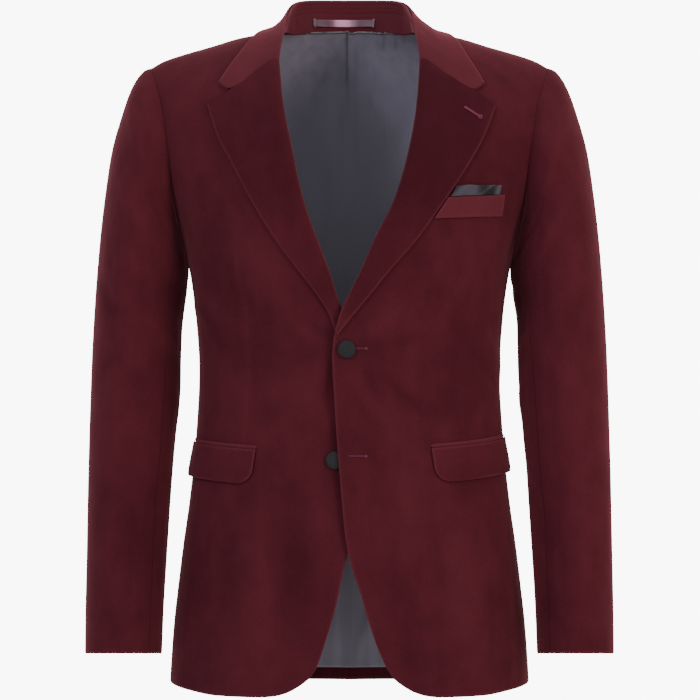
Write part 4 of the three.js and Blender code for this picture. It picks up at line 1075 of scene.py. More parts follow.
def liningBack():
    lift = -cloth["velvet"] - gap["lining"]

    def half(side):
        angle, z = backSpots(**lining["cut"])
        near = ease(*lining["neckBand"], z)
        points, normals = bodyPoint(side, angle, z, lift + lining["neckLift"] * near)
        x = side.sign * points[..., 0]
        pleat = upright(lining["pleat"], x, z) - upright(lining["groove"], x, z)
        inward = pleat - np.minimum(liningLift(x, z), lining["mostLift"])
        return (points - normals * inward[..., None]) * (side.sign, 1, 1)

    points = np.concatenate([half(right)[:, :0:-1], half(left)], 1)
    x, z = points[..., 0], points[..., 2]
    chest, hem = lining["chest"], lining["hem"]
    # Painted light and shade on the lining's folds, painted light behind the chest, painted shade at the
    # hem and along the pleat
    tone = lining["tone"] * liningLift(x, z) + chest["height"] * bump(chest["z"], chest["spread"], z)
    tone = tone + hem["height"] * ease(*hem["z"], z) - upright(lining["pleatShade"], x, z)
    return clothShell("liningCloth", points, withNormals(points), cloth["lining"], liningSatin, 1,
                      {"top": gap["seam"]}, tone)


# A sleeve is cut in two, at these angles round it. inner is painted shade where it faces the body above a
# row, and below that row painted light on the left sleeve and a little painted shade on the right; tone is
# painted light on its ridges and shade in its hollows.
sleeve = {
    "rows": 184, "turnStep": 2.5 * coarse, "headRows": 4, "cuffRow": 14,
    "cuts": {"topSleeveCloth": (240, 495), "underSleeveCloth": (135, 240)},
    "intoBody": (-0.985, 0, 0.175),  # square to the armhole
    "tuck": {"across": 0.5, "under": 0.8},  # how far its head reaches in below the armhole's edge
    "cuff": {"from": 12, "sides": 1.8, "front": 3.9},
    "fold": {"strength": 1.25, "shift": 8, "head": (0, 2), "cuff": (15, 12.5)},
    "flute": {"shift": 6, "least": 0.4, "wave": 1.3},
    "tone": 0.18,
    "inner": {"turn": 172, "wide": 26, "change": 2, "row": {"left": 7.4, "right": 9.5},
              "above": {"left": -2.4, "right": -4.4}, "below": {"left": 1.2, "right": -0.6}},
}
sleeveCreases = table(
    "at turn slope height spread wide",
    (4.6, 120, 0.016, -1.3, 0.3, 46),
    (5.6, 80, 0.012, 1.2, 0.35, 50),
    (6.4, 170, -0.012, -1.3, 0.3, 50),
    (7.9, 60, 0.012, -1.4, 0.26, 54),
    (8.3, 140, 0.014, 1.2, 0.22, 50),
    (9.1, 70, -0.012, -1.5, 0.28, 60),
    (9.5, 170, 0.012, 1.2, 0.24, 44),
    (10.6, 60, 0.012, 1.3, 0.3, 60),
    (11.0, 150, -0.012, -1.2, 0.28, 50),
    (12.2, 80, 0.014, 1.4, 0.3, 56),
    (13.1, 120, -0.012, -1.2, 0.26, 50),
    (13.4, 60, 0.012, 1.2, 0.24, 50),
)
sleeveFlutes = table(
    "turn height wide", (70, 1.3, 20), (105, -1.2, 16), (160, 1.2, 18), (250, -1.2, 22), (310, 1.2, 24),
)


# How far an angle lies from another round the sleeve, both ways
def swingFrom(turn, middle, shift):
    return (turn - middle - shift + 540) % 360 - 180


def sleeveFold(side, at, turn):
    look, flutes = sleeve["fold"], sleeve["flute"]
    out = 0 * at * turn
    for fold in sleeveFolds + sleeveCreases:
        swing = swingFrom(turn, fold["turn"], side.sign * look["shift"])
        along = bump(fold["at"] + swing * fold["slope"], fold["spread"], at)
        out = out + look["strength"] * fold["height"] * bump(0, fold["wide"] / 2, swing) * along
    rise = flutes["least"] + (1 - flutes["least"]) * np.cos(at * flutes["wave"]) ** 2
    for flute in sleeveFlutes:
        swing = swingFrom(turn, flute["turn"], side.sign * flutes["shift"])
        out = out + flute["height"] * bump(0, flute["wide"] / 2, swing) * rise
    return out * ease(*look["head"], at) * ease(*look["cuff"], at)


def sleeveGrid(side):
    section = {name: columnCurve(sleeveSections, "at", name)
               for name in ("outX", "outZ", "inX", "inZ", "fore", "hind")}
    dense = np.linspace(0, sleeve["cuffRow"], 400)
    path = np.stack([section["outX"](dense), section["outZ"](dense)], -1)
    length = np.concatenate([[0], np.cumsum(np.linalg.norm(np.diff(path, axis=0), axis=-1))])
    at = np.interp(np.linspace(0, length[-1], steps(sleeve["rows"]) + 1), length, dense)[:, None]
    turn = np.arange(0, 360, sleeve["turnStep"])[None, :]
    cuff, tuck = sleeve["cuff"], sleeve["tuck"]

    def ring(rows):
        across, forward = np.cos(np.radians(turn)), np.sin(np.radians(turn))
        share = (1 + across) / 2
        fore, hind = section["fore"](rows), section["hind"](rows)
        y = (fore + hind) / 2 - forward * (hind - fore) / 2
        x = mix(section["inX"](rows), section["outX"](rows), share)
        z = mix(section["inZ"](rows), section["outZ"](rows), share)
        lift = cuff["sides"] + cuff["front"] * np.maximum(forward, 0)
        return np.stack([x, y, z + lift * ease(cuff["from"], sleeve["cuffRow"], rows)], -1)

    angle, z = armholeSpot(turn)
    armhole, bodyOut = bodyPoint(side, angle, z)
    shift = armhole - ring(np.zeros((1, 1)))
    plain = ring(at) + shift * ease(sleeve["headRows"], 0, at)[..., None]
    normals = withNormals(plain, True)
    out = sleeveFold(side, at, turn)
    points = plain + normals * out[..., None]
    around = np.roll(points[:1], -1, 1) - np.roll(points[:1], 1, 1)
    inward = unit(np.cross(around, bodyOut))
    inward = inward * np.sign(np.sum(inward * sleeve["intoBody"], -1, keepdims=True))
    hidden = points[:1] + inward * tuck["across"] - bodyOut * tuck["under"]
    return np.concatenate([hidden, points]), np.concatenate([out[:1], out])


def sleevePieces(side):
    points, out = sleeveGrid(side)
    normals = withNormals(points, True)
    at = np.linspace(0, sleeve["cuffRow"], len(points))[:, None]
    turn = np.arange(points.shape[1])[None, :] * sleeve["turnStep"]
    inner = sleeve["inner"]
    row = inner["row"][side.label]
    above = ease(row, row - inner["change"], at)
    facing = mix(inner["below"][side.label], inner["above"][side.label], above)
    # Painted light and shade on the sleeve's folds, and painted shade where it faces the body
    tone = sleeve["tone"] * out + facing * bump(inner["turn"], inner["wide"], turn)
    made = []
    for name, cut in sleeve["cuts"].items():
        start, end = [int(angle / sleeve["turnStep"]) for angle in cut]
        columns = np.arange(start, end + 1) % points.shape[1]
        seams = {"top": gap["seam"], "left": gap["seam"], "right": gap["seam"]}
        made.append(clothShell(f"{name}_{side.label}", points[:, columns], normals[:, columns],
                               cloth["velvet"], velvetCloth, side.sign, seams, tone[:, columns]))
    return made


# reach is in mm from the roll line, and the other bands are shares of the way up the lapel
lapelCut = {
    "rows": 108, "columns": 40,
    "notch": {"u": 0.72, "wide": 0.28, "power": 5},
    "roll": {"height": 3.4, "v": (0.14, 0.45), "near": (0, 8), "far": (48, 10)},
    "lie": {"reach": (0, 4), "v": (0.14, 0.02)},
    # tone is painted shade on the upper part of each lapel
    "tone": {"left": -1.3, "right": -0.6}, "toneBand": (0.3, 0.6),
}


def lapel(side):
    rollX, rollZ, edgeX, edgeZ = [columnCurve(side.lapel, "v", name)
                                  for name in ("rollX", "rollZ", "edgeX", "edgeZ")]
    point, fold, lie = lapelCut["notch"], lapelCut["roll"], lapelCut["lie"]
    v = np.linspace(0, 1, steps(lapelCut["rows"]) + 1)[:, None]
    u = np.linspace(0, 1, steps(lapelCut["columns"]) + 1)[None, :]
    notch = np.maximum(0, 1 - np.abs(u - point["u"]) / point["wide"]) * v ** point["power"]
    x = mix(rollX(v), edgeX(v), u)
    z = mix(rollZ(v), edgeZ(v), u) + side.notchRise * notch
    reach = u * np.hypot(edgeX(v) - rollX(v), edgeZ(v) - rollZ(v))
    roll = fold["height"] * ease(*fold["v"], v) * ease(*fold["near"], reach) * ease(*fold["far"], reach)
    resting = np.maximum(ease(*lie["reach"], reach), ease(*lie["v"], v) + 0 * u)
    points, normals = frontPoint(side, x, z, (gap["rest"] + cloth["lapel"]) * resting + roll)
    facing = withNormals(points, False, facingOf(points, normals))
    # Painted shade on the upper lapel
    tone = lapelCut["tone"][side.label] * ease(*lapelCut["toneBand"], v) + 0 * u
    return clothShell(f"lapelCloth_{side.label}", points, facing, cloth["lapel"], velvetCloth,
                      side.sign, {"bottom": gap["gorge"] / 2}, tone)


def facingOf(points, normals):
    computed = withNormals(points)
    middle = points.shape[0] // 2, points.shape[1] // 2
    return 1 if np.dot(computed[middle], normals[middle]) > 0 else -1


nearRim = 0.99  # share of the body's width and depth at which its slope is still read


# How far points lie above the body form near the shoulders, and the way out of it
def aboveBody(points):
    def height(x, y, z):
        across = np.minimum(np.abs(x) / bodyWidth(z), nearRim)
        rounded = (1 - across ** bodyCut["power"]) ** (1 / bodyCut["power"])
        depth = np.where(y < 0, bodyFront(z), bodyBack(z)) * rounded
        reach = np.minimum(np.abs(y) / depth, nearRim)
        fallen = bodyCut["shoulderRound"] * (1 - np.sqrt(1 - reach ** 2))
        return z - shoulderHeight(np.abs(x)) + fallen

    x, y, z = points[..., 0], points[..., 1], points[..., 2]
    step = 0.5
    here = height(x, y, z)
    moved = (height(x + step, y, z), height(x, y + step, z), height(x, y, z + step))
    way = np.stack([there - here for there in moved], -1) / step
    return here / np.linalg.norm(way, axis=-1), unit(way)


def settle(points, rest, hold):
    for _ in range(4):
        distance, way = aboveBody(points)
        move = rest - distance
        points = points + way * np.where(move > 0, move, move * hold)[..., None]
    return points


def linePoint(rows, at):
    return np.stack([columnCurve(rows, "at", axis)(at) for axis in "xyz"], -1)


# Curve through the collar's rows at each station, smooth across them as in the construction
def acrossRows(at, across):
    lines = [linePoint(rows, at) for _, rows in collarRows]
    points = np.zeros((len(at), len(across), 3))
    for i in range(len(at)):
        rows = [dict(across=share, x=line[i][0], y=line[i][1], z=line[i][2])
                for (share, _), line in zip(collarRows, lines)]
        for k, axis in enumerate("xyz"):
            points[i, :, k] = columnCurve(rows, "across", axis)(across)
    return points


def bothHalves(rightHalf, leftHalf):
    return np.concatenate([rightHalf[:0:-1] * (-1, 1, 1), leftHalf])


leafCut = {
    "columns": 96, "rows": 40,
    "lie": (-0.04, 0.075), "hold": (0.45, 0.95),  # shares of the way down, where it lies on the body
    "tone": (-2, -0.7), "toneBand": (0, 0.8),  # painted shade, darkest along its fold
}


def collarLeaf():
    at = np.linspace(0, 7, steps(leafCut["columns"]) + 1)
    across = np.linspace(0, 1, steps(leafCut["rows"]) + 1)
    narrower = columnCurve(leafRightShift, "at", "shift")(at)[:, None] * across[None, :]
    rest = (gap["rest"] + cloth["lapel"]) * ease(*leafCut["lie"], across)[None, :]
    hold = ease(*leafCut["hold"], across)[None, :]
    half = acrossRows(at, across)
    rightHalf = half - np.stack([narrower, 0 * narrower, 0 * narrower], -1)
    points = bothHalves(settle(rightHalf, rest, hold), settle(half, rest, hold))
    tone = mix(*leafCut["tone"], ease(*leafCut["toneBand"], across))[None, :] + np.zeros((len(points), 1))
    return clothShell("collarLeafCloth", points, withNormals(points, False, -1), cloth["lapel"],
                      velvetLifted, 1, {"top": gap["gorge"] / 2, "bottom": gap["gorge"] / 2}, tone)


# Pairs in standCut: at the centre back, and at its end, which goes in under the fold of the leaf
standCut = {
    "columns": 76, "rows": 26, "length": 5.5, "end": (4.1, 5.5),
    "topIn": (5.1, -0.6), "topDown": (0.8, 4.6), "lowIn": (4, 1),
    "lowDown": {"outside": 2.4, "from": (1.6, 3)}, "neck": {"down": 1.9, "more": 3, "from": (1.2, 3.4)},
    "stitches": (0.14, 0.27, 0.4),  # rows of stitching, as shares of its height
    # groove sinks the stitching rows and darkens them by the same amount as painted shade; tone is painted
    # shade over the whole stand
    "groove": 0.6, "grooveWidth": 0.03, "tone": -1.7,
}


# Inside face of the stand, from under the fold line (0) down to the neck seam (1)
def standPoint(at, share):
    low, neck = standCut["lowDown"], standCut["neck"]
    ahead = linePoint(collarFold, np.minimum(at + 0.1, 7)) - linePoint(collarFold, np.maximum(at - 0.1, 0))
    outward = np.stack([-ahead[..., 1], ahead[..., 0], 0 * at], -1)
    outward[np.abs(at) < 1e-9] = (0, 1, 0)
    outward = unit(outward)
    end = ease(*standCut["end"], at)[..., None]
    up = np.array((0.0, 0.0, 1.0))
    top = linePoint(collarFold, at) - outward * mix(*standCut["topIn"], end)
    top = top - up * mix(*standCut["topDown"], end)
    bottom = linePoint(neckSeam, at) - outward * mix(*standCut["lowIn"], end)
    bottom = bottom - up * low["outside"] * ease(*low["from"], at)[..., None]
    sunk = -neck["down"] - neck["more"] * ease(*neck["from"], at)
    bottom = bottom + np.stack([0 * at, 0 * at, sunk], -1)
    return mix(top, bottom, share) + outward * np.sin(math.pi * share), outward


def collarStand():
    at = np.linspace(0, standCut["length"], steps(standCut["columns"]) + 1)
    shares = np.linspace(0, 1, steps(standCut["rows"]) + 1)
    grid = [standPoint(at, share) for share in shares]
    points = np.stack([g[0] for g in grid], 1)
    outward = np.stack([g[1] for g in grid], 1)
    width = standCut["grooveWidth"]
    groove = standCut["groove"] * sum(bump(row, width, shares) for row in standCut["stitches"])
    points = points + outward * groove[None, :, None]
    full = bothHalves(points, points)
    facing = facingOf(full, -bothHalves(outward, outward))
    # Painted shade over the stand, deeper in its stitching grooves
    tone = (standCut["tone"] - groove)[None, :] + np.zeros((len(full), 1))
    return clothShell("collarStandCloth", full, withNormals(full, False, facing), cloth["lapel"],
                      velvetLifted, 1, {"top": 0, "bottom": 0, "right": gap["seam"]}, tone)


# The loop lies on the stand, from one side of the centre to the other. top and bottom are shares of
# the stand's height.
loopCut = {
    "columns": 60, "rows": 10, "from": -46, "to": 32, "top": 0.59, "bottom": 0.8, "gap": 0.7,
    # glint is a painted highlight across the loop, and tone is painted shade over the rest of it
    "tone": -3.7, "glint": {"height": 4.8, "x": -8, "spread": 15},
}


def hangerLoop():
    station = columnCurve(collarFold, "x", "at")
    x = np.linspace(loopCut["from"], loopCut["to"], steps(loopCut["columns"]) + 1)
    shares = np.linspace(loopCut["top"], loopCut["bottom"], steps(loopCut["rows"]) + 1)
    flip = np.stack([np.where(x < 0, -1, 1), 1 + 0 * x, 1 + 0 * x], -1)
    rows = []
    for share in shares:
        point, outward = standPoint(station(np.abs(x)), share)
        rows.append(((point - outward * (loopCut["gap"] + cloth["loop"])) * flip, -outward * flip))
    points = np.stack([row[0] for row in rows], 1)
    normals = np.stack([row[1] for row in rows], 1)
    # Painted highlight near the middle of the loop, painted shade elsewhere
    glint = loopCut["glint"]
    tone = glint["height"] * bump(glint["x"], glint["spread"], x) + loopCut["tone"]
    return clothShell("hangerLoopCloth", points, normals, cloth["loop"], loopSatin, 1, None,
                      tone[:, None] + 0 * shares[None, :])


# rear is where a flap or a jet ends, in degrees round the body
flapCut = {
    "depth": 38, "corner": 16, "length": 135, "rear": 87, "lean": 1.6,
    "rows": 16, "cornerRows": 18, "columns": 90,
    "top": 0.3, "stand": 3.2,  # how far its top and its rear lower corner stand off
    "swell": {"height": 0.7, "v": (0.5, 0.32), "u": (0.5, 0.4)},
    # tone is a painted highlight along the flap's upper part
    "tone": {"height": 0.3, "v": (0.1, 0.5)},
}


# Depths of the flap's rows, closer together in its rounded lower corners
def flapDepths():
    straight = flapCut["depth"] - flapCut["corner"]
    upper = np.linspace(0, straight, steps(flapCut["rows"]) + 1)[:-1]
    turns = np.linspace(0, math.pi / 2, steps(flapCut["cornerRows"]) + 1)
    return np.concatenate([upper, flapCut["depth"] - flapCut["corner"] * (1 - np.sin(turns))])


def flapPanel(side):
    flap, swell, tone = side.flap, flapCut["swell"], flapCut["tone"]
    front = angleAt(flap["frontX"], flap["foreTop"])
    depth = flapDepths()[:, None]
    below = np.maximum(depth - (flapCut["depth"] - flapCut["corner"]), 0)
    inset = flapCut["corner"] - np.sqrt(flapCut["corner"] ** 2 - below ** 2)
    across = np.linspace(0, 1, steps(flapCut["columns"]) + 1)[None, :]
    u = (inset + across * (flapCut["length"] - 2 * inset)) / flapCut["length"]
    v = depth / flapCut["depth"]
    angle = mix(front + math.radians(flapCut["lean"]) * v, math.radians(flapCut["rear"]), u)
    z = mix(flap["foreTop"], flap["hindTop"], u) - depth
    rise = swell["height"] * bump(*swell["v"], v) * bump(*swell["u"], u)
    lift = mix(flapCut["top"], gap["rest"], v) + cloth["flap"] + flapCut["stand"] * v * u + rise
    points, normals = bodyPoint(side, angle, z, lift)
    facing = withNormals(points, False, facingOf(points, normals))
    return clothShell(f"flapCloth_{side.label}", points, facing, cloth["flap"], velvetCloth, side.sign,
                      None, tone["height"] * bump(*tone["v"], v) + 0 * u)


jetCut = {
    "rear": 81, "height": 4.0, "gap": 0.2, "tip": 5, "ahead": 1, "lift": 1.55, "swell": 0.7,
    # tone is painted light over the whole jet
    "tipShare": 0.05, "tipColumns": 12, "columns": 60, "rows": 12, "tone": 0.8,
}


def jet(side):
    flap = side.flap
    front = angleAt(flap["frontX"] - jetCut["ahead"], flap["foreTop"])
    tipColumns = np.linspace(0, jetCut["tipShare"], steps(jetCut["tipColumns"]) + 1)[:-1]
    columns = np.linspace(jetCut["tipShare"], 1, steps(jetCut["columns"]) + 1)
    u = np.concatenate([tipColumns, columns])[None, :]
    v = np.linspace(0, 1, steps(jetCut["rows"]) + 1)[:, None]
    tip = np.clip(u * flapCut["length"] / jetCut["tip"], 0, 1)
    end = np.sqrt(1 - (1 - tip) ** 2)
    half = jetCut["height"] / 2
    angle = mix(front, math.radians(jetCut["rear"]), u)
    share = (angle - front) / (math.radians(flapCut["rear"]) - front)
    z = mix(flap["foreTop"], flap["hindTop"], share) + jetCut["gap"] + half + half * end * (1 - 2 * v)
    swell = jetCut["swell"] * np.sin(math.pi * v) * (0.4 + 0.6 * end)
    points, normals = bodyPoint(side, angle + 0 * z, z, jetCut["lift"] + swell)
    return clothShell(f"jetCloth_{side.label}", points, normals, cloth["jet"], velvetCloth, side.sign,
                      None, jetCut["tone"] + 0 * z)


# Grid between four corners on the front
def patchGrid(cut):
    v = np.linspace(0, 1, steps(cut["rows"]) + 1)[:, None]
    u = np.linspace(0, 1, steps(cut["columns"]) + 1)[None, :]
    x = mix(mix(cut["inTopX"], cut["outTopX"], u), mix(cut["inLowX"], cut["outLowX"], u), v)
    z = mix(mix(cut["inTopZ"], cut["outTopZ"], u), mix(cut["inLowZ"], cut["outLowZ"], u), v)
    return u, v, x, z


welt = {"rows": 22, "columns": 50, "swell": 0.4,
        "inTopX": 107, "inTopZ": -197.7, "outTopX": 170, "outTopZ": -193.6,
        "inLowX": 91.5, "inLowZ": -221, "outLowX": 167, "outLowZ": -217}
square = {"rows": 22, "columns": 70, "stand": 2.6,
          "peaks": table("u height spread", (0.2, 0.7, 0.14), (0.68, 0.5, 0.16)),
          # tone paints light on the puffs and shade between them; darker is painted shade over it all and
          # shadow a painted shadow band
          "lowPuff": 0.3, "tone": 1.5, "darker": 1.4, "shadow": {"u": 0.76, "spread": 0.1, "height": 1.6},
          "inTopX": 116, "inTopZ": -185.5, "outTopX": 164, "outTopZ": -183.5,
          "inLowX": 109, "inLowZ": -197, "outLowX": 163.5, "outLowZ": -193.6}


def breastWelt():
    u, v, x, z = patchGrid(welt)
    lift = gap["rest"] + cloth["velvet"] + welt["swell"] * np.sin(math.pi * v) + 0 * u
    points, normals = frontPoint(left, x, z, lift)
    return clothShell("breastWeltCloth", points, normals, cloth["velvet"], velvetLifted)


squarePuffs = table(
    "u height spread lean", (0.1, 1.6, 0.13, 0.14), (0.4, 2.2, 0.15, -0.08), (0.6, 1.2, 0.06, 0.2),
    (0.93, 2.6, 0.06, 0.04),
)


def pocketSquare():
    u, v, x, z = patchGrid(square)
    puff = 0 * (u + v)
    for row in squarePuffs:
        puff = puff + row["height"] * bump(row["u"] + row["lean"] * (1 - v), row["spread"], u)
    rise = sum(peak["height"] * bump(peak["u"], peak["spread"], u) for peak in square["peaks"]) * (1 - v)
    grown = square["lowPuff"] + (1 - square["lowPuff"]) * (1 - v)
    points, normals = frontPoint(left, x, z + rise, gap["rest"] + square["stand"] + puff * grown)
    facing = withNormals(points, False, facingOf(points, normals))
    # Painted light on the puffs, painted shade between them and a painted shadow low down
    shadow = square["shadow"]
    dark = square["darker"] + shadow["height"] * bump(shadow["u"], shadow["spread"], u) * v
    return clothShell("pocketSquareCloth", points, facing, cloth["square"], squareSatin, 1, None,
                      square["tone"] * (puff - dark))


# A covered button, turned from its profile of radius and height. The upper one is fastened, and the
# lower one shows on the right front.
buttons = {
    "sides": 64 // coarse,
    "profile": [(0, 0), (7.6, 0), (9.4, 0.5), (10, 1.3), (9.9, 1.9), (9.2, 2.7), (7.4, 3.15), (4, 3.36),
                (0, 3.4)],
    "low": {"x": -16, "z": -484},
}


def button(name, side, spot):
    normal, centre = buttonSeat(side, spot["x"], spot["z"])
    bm = bmesh.new()
    count = buttons["sides"]
    rings = []
    for radius, height in buttons["profile"]:
        if radius == 0:
            rings.append([bm.verts.new((0, 0, height))])
        else:
            rings.append([bm.verts.new((radius * math.cos(t), radius * math.sin(t), height))
                          for t in np.linspace(0, 2 * math.pi, count, endpoint=False)])
    for low, high in zip(rings, rings[1:]):
        for i in range(count):
            k = (i + 1) % count
            if len(low) == 1:
                bm.faces.new((low[0], high[k], high[i]))
            elif len(high) == 1:
                bm.faces.new((low[i], low[k], high[0]))
            else:
                bm.faces.new((low[i], low[k], high[k], high[i]))
    turn = Vector(normal).to_track_quat("Z", "Y")
    for vertex in bm.verts:
        vertex.co = (turn @ vertex.co + Vector(centre)) * millimetre
    mesh = bpy.data.meshes.new(name)
    bm.to_mesh(mesh)
    bm.free()
    mesh.polygons.foreach_set("use_smooth", [True] * len(mesh.polygons))
    return place(name, mesh, buttonCloth)


def buttonSeat(side, x, z):
    spot = np.array([x * side.sign], float), np.array([z], float)
    points, normals = frontPoint(side, *spot, gap["button"])
    flip = (side.sign, 1, 1)
    return normals[0] * flip, points[0] * flip


# Thread along a path (mm), as a round closed tube
def threadTube(bm, path, radius, sides=6):
    path = np.array(path, float)
    ahead = unit(np.gradient(path, axis=0))
    up = np.array((0.0, 0.0, 1.0)) if abs(ahead[0][2]) < 0.8 else np.array((1.0, 0.0, 0.0))
    first = unit(np.cross(ahead, up))
    second = np.cross(ahead, first)
    rings = []
    for point, a, b in zip(path, first, second):
        rings.append([bm.verts.new((point + radius * (math.cos(t) * a + math.sin(t) * b)) * millimetre)
                      for t in np.linspace(0, 2 * math.pi, sides, endpoint=False)])
    for low, high in zip(rings, rings[1:]):
        for i in range(sides):
            k = (i + 1) % sides
            bm.faces.new((low[i], low[k], high[k], high[i]))
    bm.faces.new(rings[0][::-1])
    bm.faces.new(rings[-1])


def threadPiece(name, paths, radius, look):
    bm = bmesh.new()
    for path in paths:
        threadTube(bm, path, radius)
    bmesh.ops.recalc_face_normals(bm, faces=bm.faces)
    mesh = bpy.data.meshes.new(name)
    bm.to_mesh(mesh)
    bm.free()
    mesh.polygons.foreach_set("use_smooth", [True] * len(mesh.polygons))
    return place(name, mesh, look)


# Worked buttonholes on the left front and its lapel, as short stitches on both sides of the slit and
# a ring at its eye
stitch = {"radius": 0.42, "arch": 0.42, "eyeTurns": 9, "eyeOpen": 2.4, "eyeIn": 0.35, "eyeOut": 1.35}
frontHole = {"lift": 0.1, "halfWidth": 0.7, "pitch": 0.75, "eye": 1.1}
holes = {
    "holeTop": {**frontHole, "start": (6, -361.8), "end": (19, -361.8)},
    "holeLow": {**frontHole, "start": (-1, -479.5), "end": (19, -479.5)},
    "holeLapel": {"start": (125, -99.5), "end": (143.5, -111), "lift": 3.9, "halfWidth": 1.2,
                  "pitch": 0.8, "eye": 1.9},
}


def buttonhole(name, start, end, lift, halfWidth, pitch, eye):
    start, end = np.array(start, float), np.array(end, float)
    length = np.linalg.norm(end - start)
    way = (end - start) / length
    side = np.array((-way[1], way[0]))
    spots = []
    for along in np.arange(0, length - eye, pitch):
        middle = start + way * along
        spots.append((middle - side * halfWidth, middle + side * halfWidth))
    centre = end - way * eye
    for turn in np.linspace(-stitch["eyeOpen"], stitch["eyeOpen"], stitch["eyeTurns"]):
        arm = way * math.cos(turn) + side * math.sin(turn)
        spots.append((centre + arm * eye * stitch["eyeIn"], centre + arm * eye * stitch["eyeOut"]))
    paths = []
    for first, second in spots:
        share = np.linspace(0, 1, 5)
        flat = mix(first, second, share[:, None])
        arch = lift + stitch["arch"] * np.sin(math.pi * share)
        paths.append(frontPoint(left, flat[:, 0], flat[:, 1], arch)[0])
    return threadPiece(name, paths, stitch["radius"], pinkThread)


# Two threads hold each end of the loop
tack = {"radius": 0.4, "inset": 1.4, "shifts": (-0.5, 0.5), "over": 0.03, "lift": 0.3}


def barTacks():
    station = columnCurve(collarFold, "x", "at")
    height = loopCut["gap"] + cloth["loop"] + tack["lift"]
    paths = []
    for x in (loopCut["from"] + tack["inset"], loopCut["to"] - tack["inset"]):
        for shift in tack["shifts"]:
            across = x + shift
            flip = (-1 if across < 0 else 1, 1, 1)
            path = []
            for share in np.linspace(loopCut["top"] - tack["over"], loopCut["bottom"] + tack["over"], 6):
                point, outward = standPoint(np.array([station(abs(across))]), share)
                path.append((point[0] - outward[0] * height) * flip)
            paths.append(path)
    return threadPiece("loopTacks", paths, tack["radius"], greyThread)


def sheetArea(made):
    return sum(polygon.area for polygon in made.data.polygons) / 2


# Every piece is made, rides on the body and stands for its node
pieces = []


def add(made, node, flat=None, share=None):
    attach(made, "root")
    if node:
        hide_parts(node)
    if flat:
        area = flat[0] * flat[1] * share
        pieces.append((made.name, area, sheetArea(made)))
    return made


for side in (left, right):
    label = side.label
    front = add(frontPanel(side), f"front_{label}", (0.27, 0.76), 0.7)
    add(sidePanel(side), f"side_{label}", (0.115, 0.52), 0.72)
    add(backPanel(side), f"back_{label}", (0.25, 0.77), 0.83)
    topSleeve, underSleeve = sleevePieces(side)
    add(topSleeve, f"top_sleeve_{label}", (0.29, 0.68), 0.735)
    add(underSleeve, f"under_sleeve_{label}", (0.14, 0.5), 0.7)
    add(lapel(side), f"lapel_{label}", (0.1, 0.34), 0.56)
    flap = add(flapPanel(side), f"flap_{label}", (0.14, 0.04), 0.95)
    add(jet(side), f"jet_{label}", (0.128, 0.01), 0.45)
    print("side made", label)
leaf = add(collarLeaf(), "collar_leaf", (0.48, 0.07), 0.83)
stand = add(collarStand(), "collar_stand", (0.27, 0.036), 1.0)
add(liningBack(), "lining_back", (0.46, 0.75), 0.84)
tacks = add(barTacks(), None)
add(hangerLoop(), "hanger_loop", (0.078, 0.0101), 0.88)
add(breastWelt(), "breast_welt", (0.08, 0.026), 0.95)
add(pocketSquare(), "pocket_square", (0.056, 0.016), 0.9)
add(button("buttonTop", left, fastened), "button_top")
add(button("buttonLow", right, buttons["low"]), "button_low")
for name, hole in holes.items():
    add(buttonhole(name, **hole), None)
print("small pieces made")

stage = {"size": 3.2, "drop": 0.2, "colour": (0.85, 0.85, 0.85, 1), "roughness": 0.9}


def makeFloor():
    level = boundsAtLoad[0][2] - stage["drop"]
    bpy.ops.mesh.primitive_plane_add(size=stage["size"], location=(0, 0, level))
    floor = bpy.context.object
    floor.name = "floor"
    made, _, _, shader = newMaterial("floorPaint")
    setSockets(shader, {"Base Color": stage["colour"], "Roughness": stage["roughness"]})
    floor.data.materials.append(made)


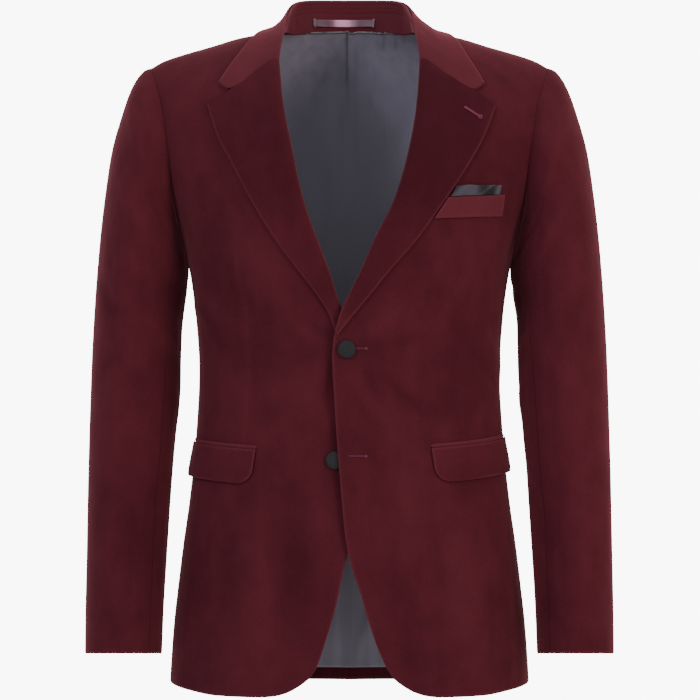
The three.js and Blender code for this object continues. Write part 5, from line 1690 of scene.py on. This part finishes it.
# Each light stands at a spot and looks at another
lights = {
    "keyLight": {"spot": (-1.9, -2.1, 1.3), "target": (0, 0, -0.36), "size": (1.1, 1.4), "power": 57,
                 "colour": (1, 0.97, 1)},
    "fillLight": {"spot": (2.2, -1.9, 0.5), "target": (0, 0, -0.36), "size": (1.1, 1.8), "power": 72,
                  "colour": (1, 0.87, 0.76)},
    "topLight": {"spot": (0, 0.2, 2.2), "target": (0, 0, 0), "size": (1.8, 1.2), "power": 34,
                 "colour": (1, 1, 1)},
    "warmRim": {"spot": (2.2, 0.9, -0.3), "target": (0.1, 0, -0.4), "size": (0.5, 1.6), "power": 6,
                "colour": (1, 0.25, 0.06)},
}
studio = {"light": 0.78, "seen": 9}  # strength of the white room, on the garment and in the picture


def areaLight(name, spot, target, size, power, colour):
    data = bpy.data.lights.new(name, "AREA")
    data.shape = "RECTANGLE"
    data.size, data.size_y = size
    data.energy = power
    data.color = colour
    made = bpy.data.objects.new(name, data)
    made.location = spot
    made.rotation_euler = (Vector(target) - Vector(spot)).to_track_quat("-Z", "Y").to_euler()
    bpy.context.scene.collection.objects.link(made)


def makeLights():
    for name, values in lights.items():
        areaLight(name, **values)
    world = bpy.data.worlds.new("studio")
    bpy.context.scene.world = world
    world.use_nodes = True
    nodes, links = world.node_tree.nodes, world.node_tree.links
    background = nodes["Background"]
    rays = nodes.new("ShaderNodeLightPath")
    strength = nodes.new("ShaderNodeMapRange")
    strength.inputs["To Min"].default_value = studio["light"]
    strength.inputs["To Max"].default_value = studio["seen"]
    links.new(rays.outputs["Is Camera Ray"], strength.inputs["Value"])
    links.new(strength.outputs["Result"], background.inputs["Strength"])
    background.inputs["Color"].default_value = (1, 1, 1, 1)


# scale is the width of a pixel of the photo at the middle of the garment
photo = {"scale": 1.12 * millimetre, "pixels": 700, "middleX": 0.5, "middleZ": -364 * millimetre,
         "distance": 4.0, "sensor": 36}


def makeCamera():
    data = bpy.data.cameras.new("photoCamera")
    data.sensor_width = photo["sensor"]
    data.lens = data.sensor_width * photo["distance"] / (photo["pixels"] * photo["scale"])
    made = bpy.data.objects.new("photoCamera", data)
    made.location = (photo["middleX"] * photo["scale"], -photo["distance"], photo["middleZ"])
    made.rotation_euler = (math.pi / 2, 0, 0)
    bpy.context.scene.collection.objects.link(made)
    bpy.context.scene.camera = made


makeFloor()
makeLights()
makeCamera()
print("floor, lights and camera made")
for name, area, measured in pieces:
    print("sheet", name, round(area, 4), round(measured, 4))
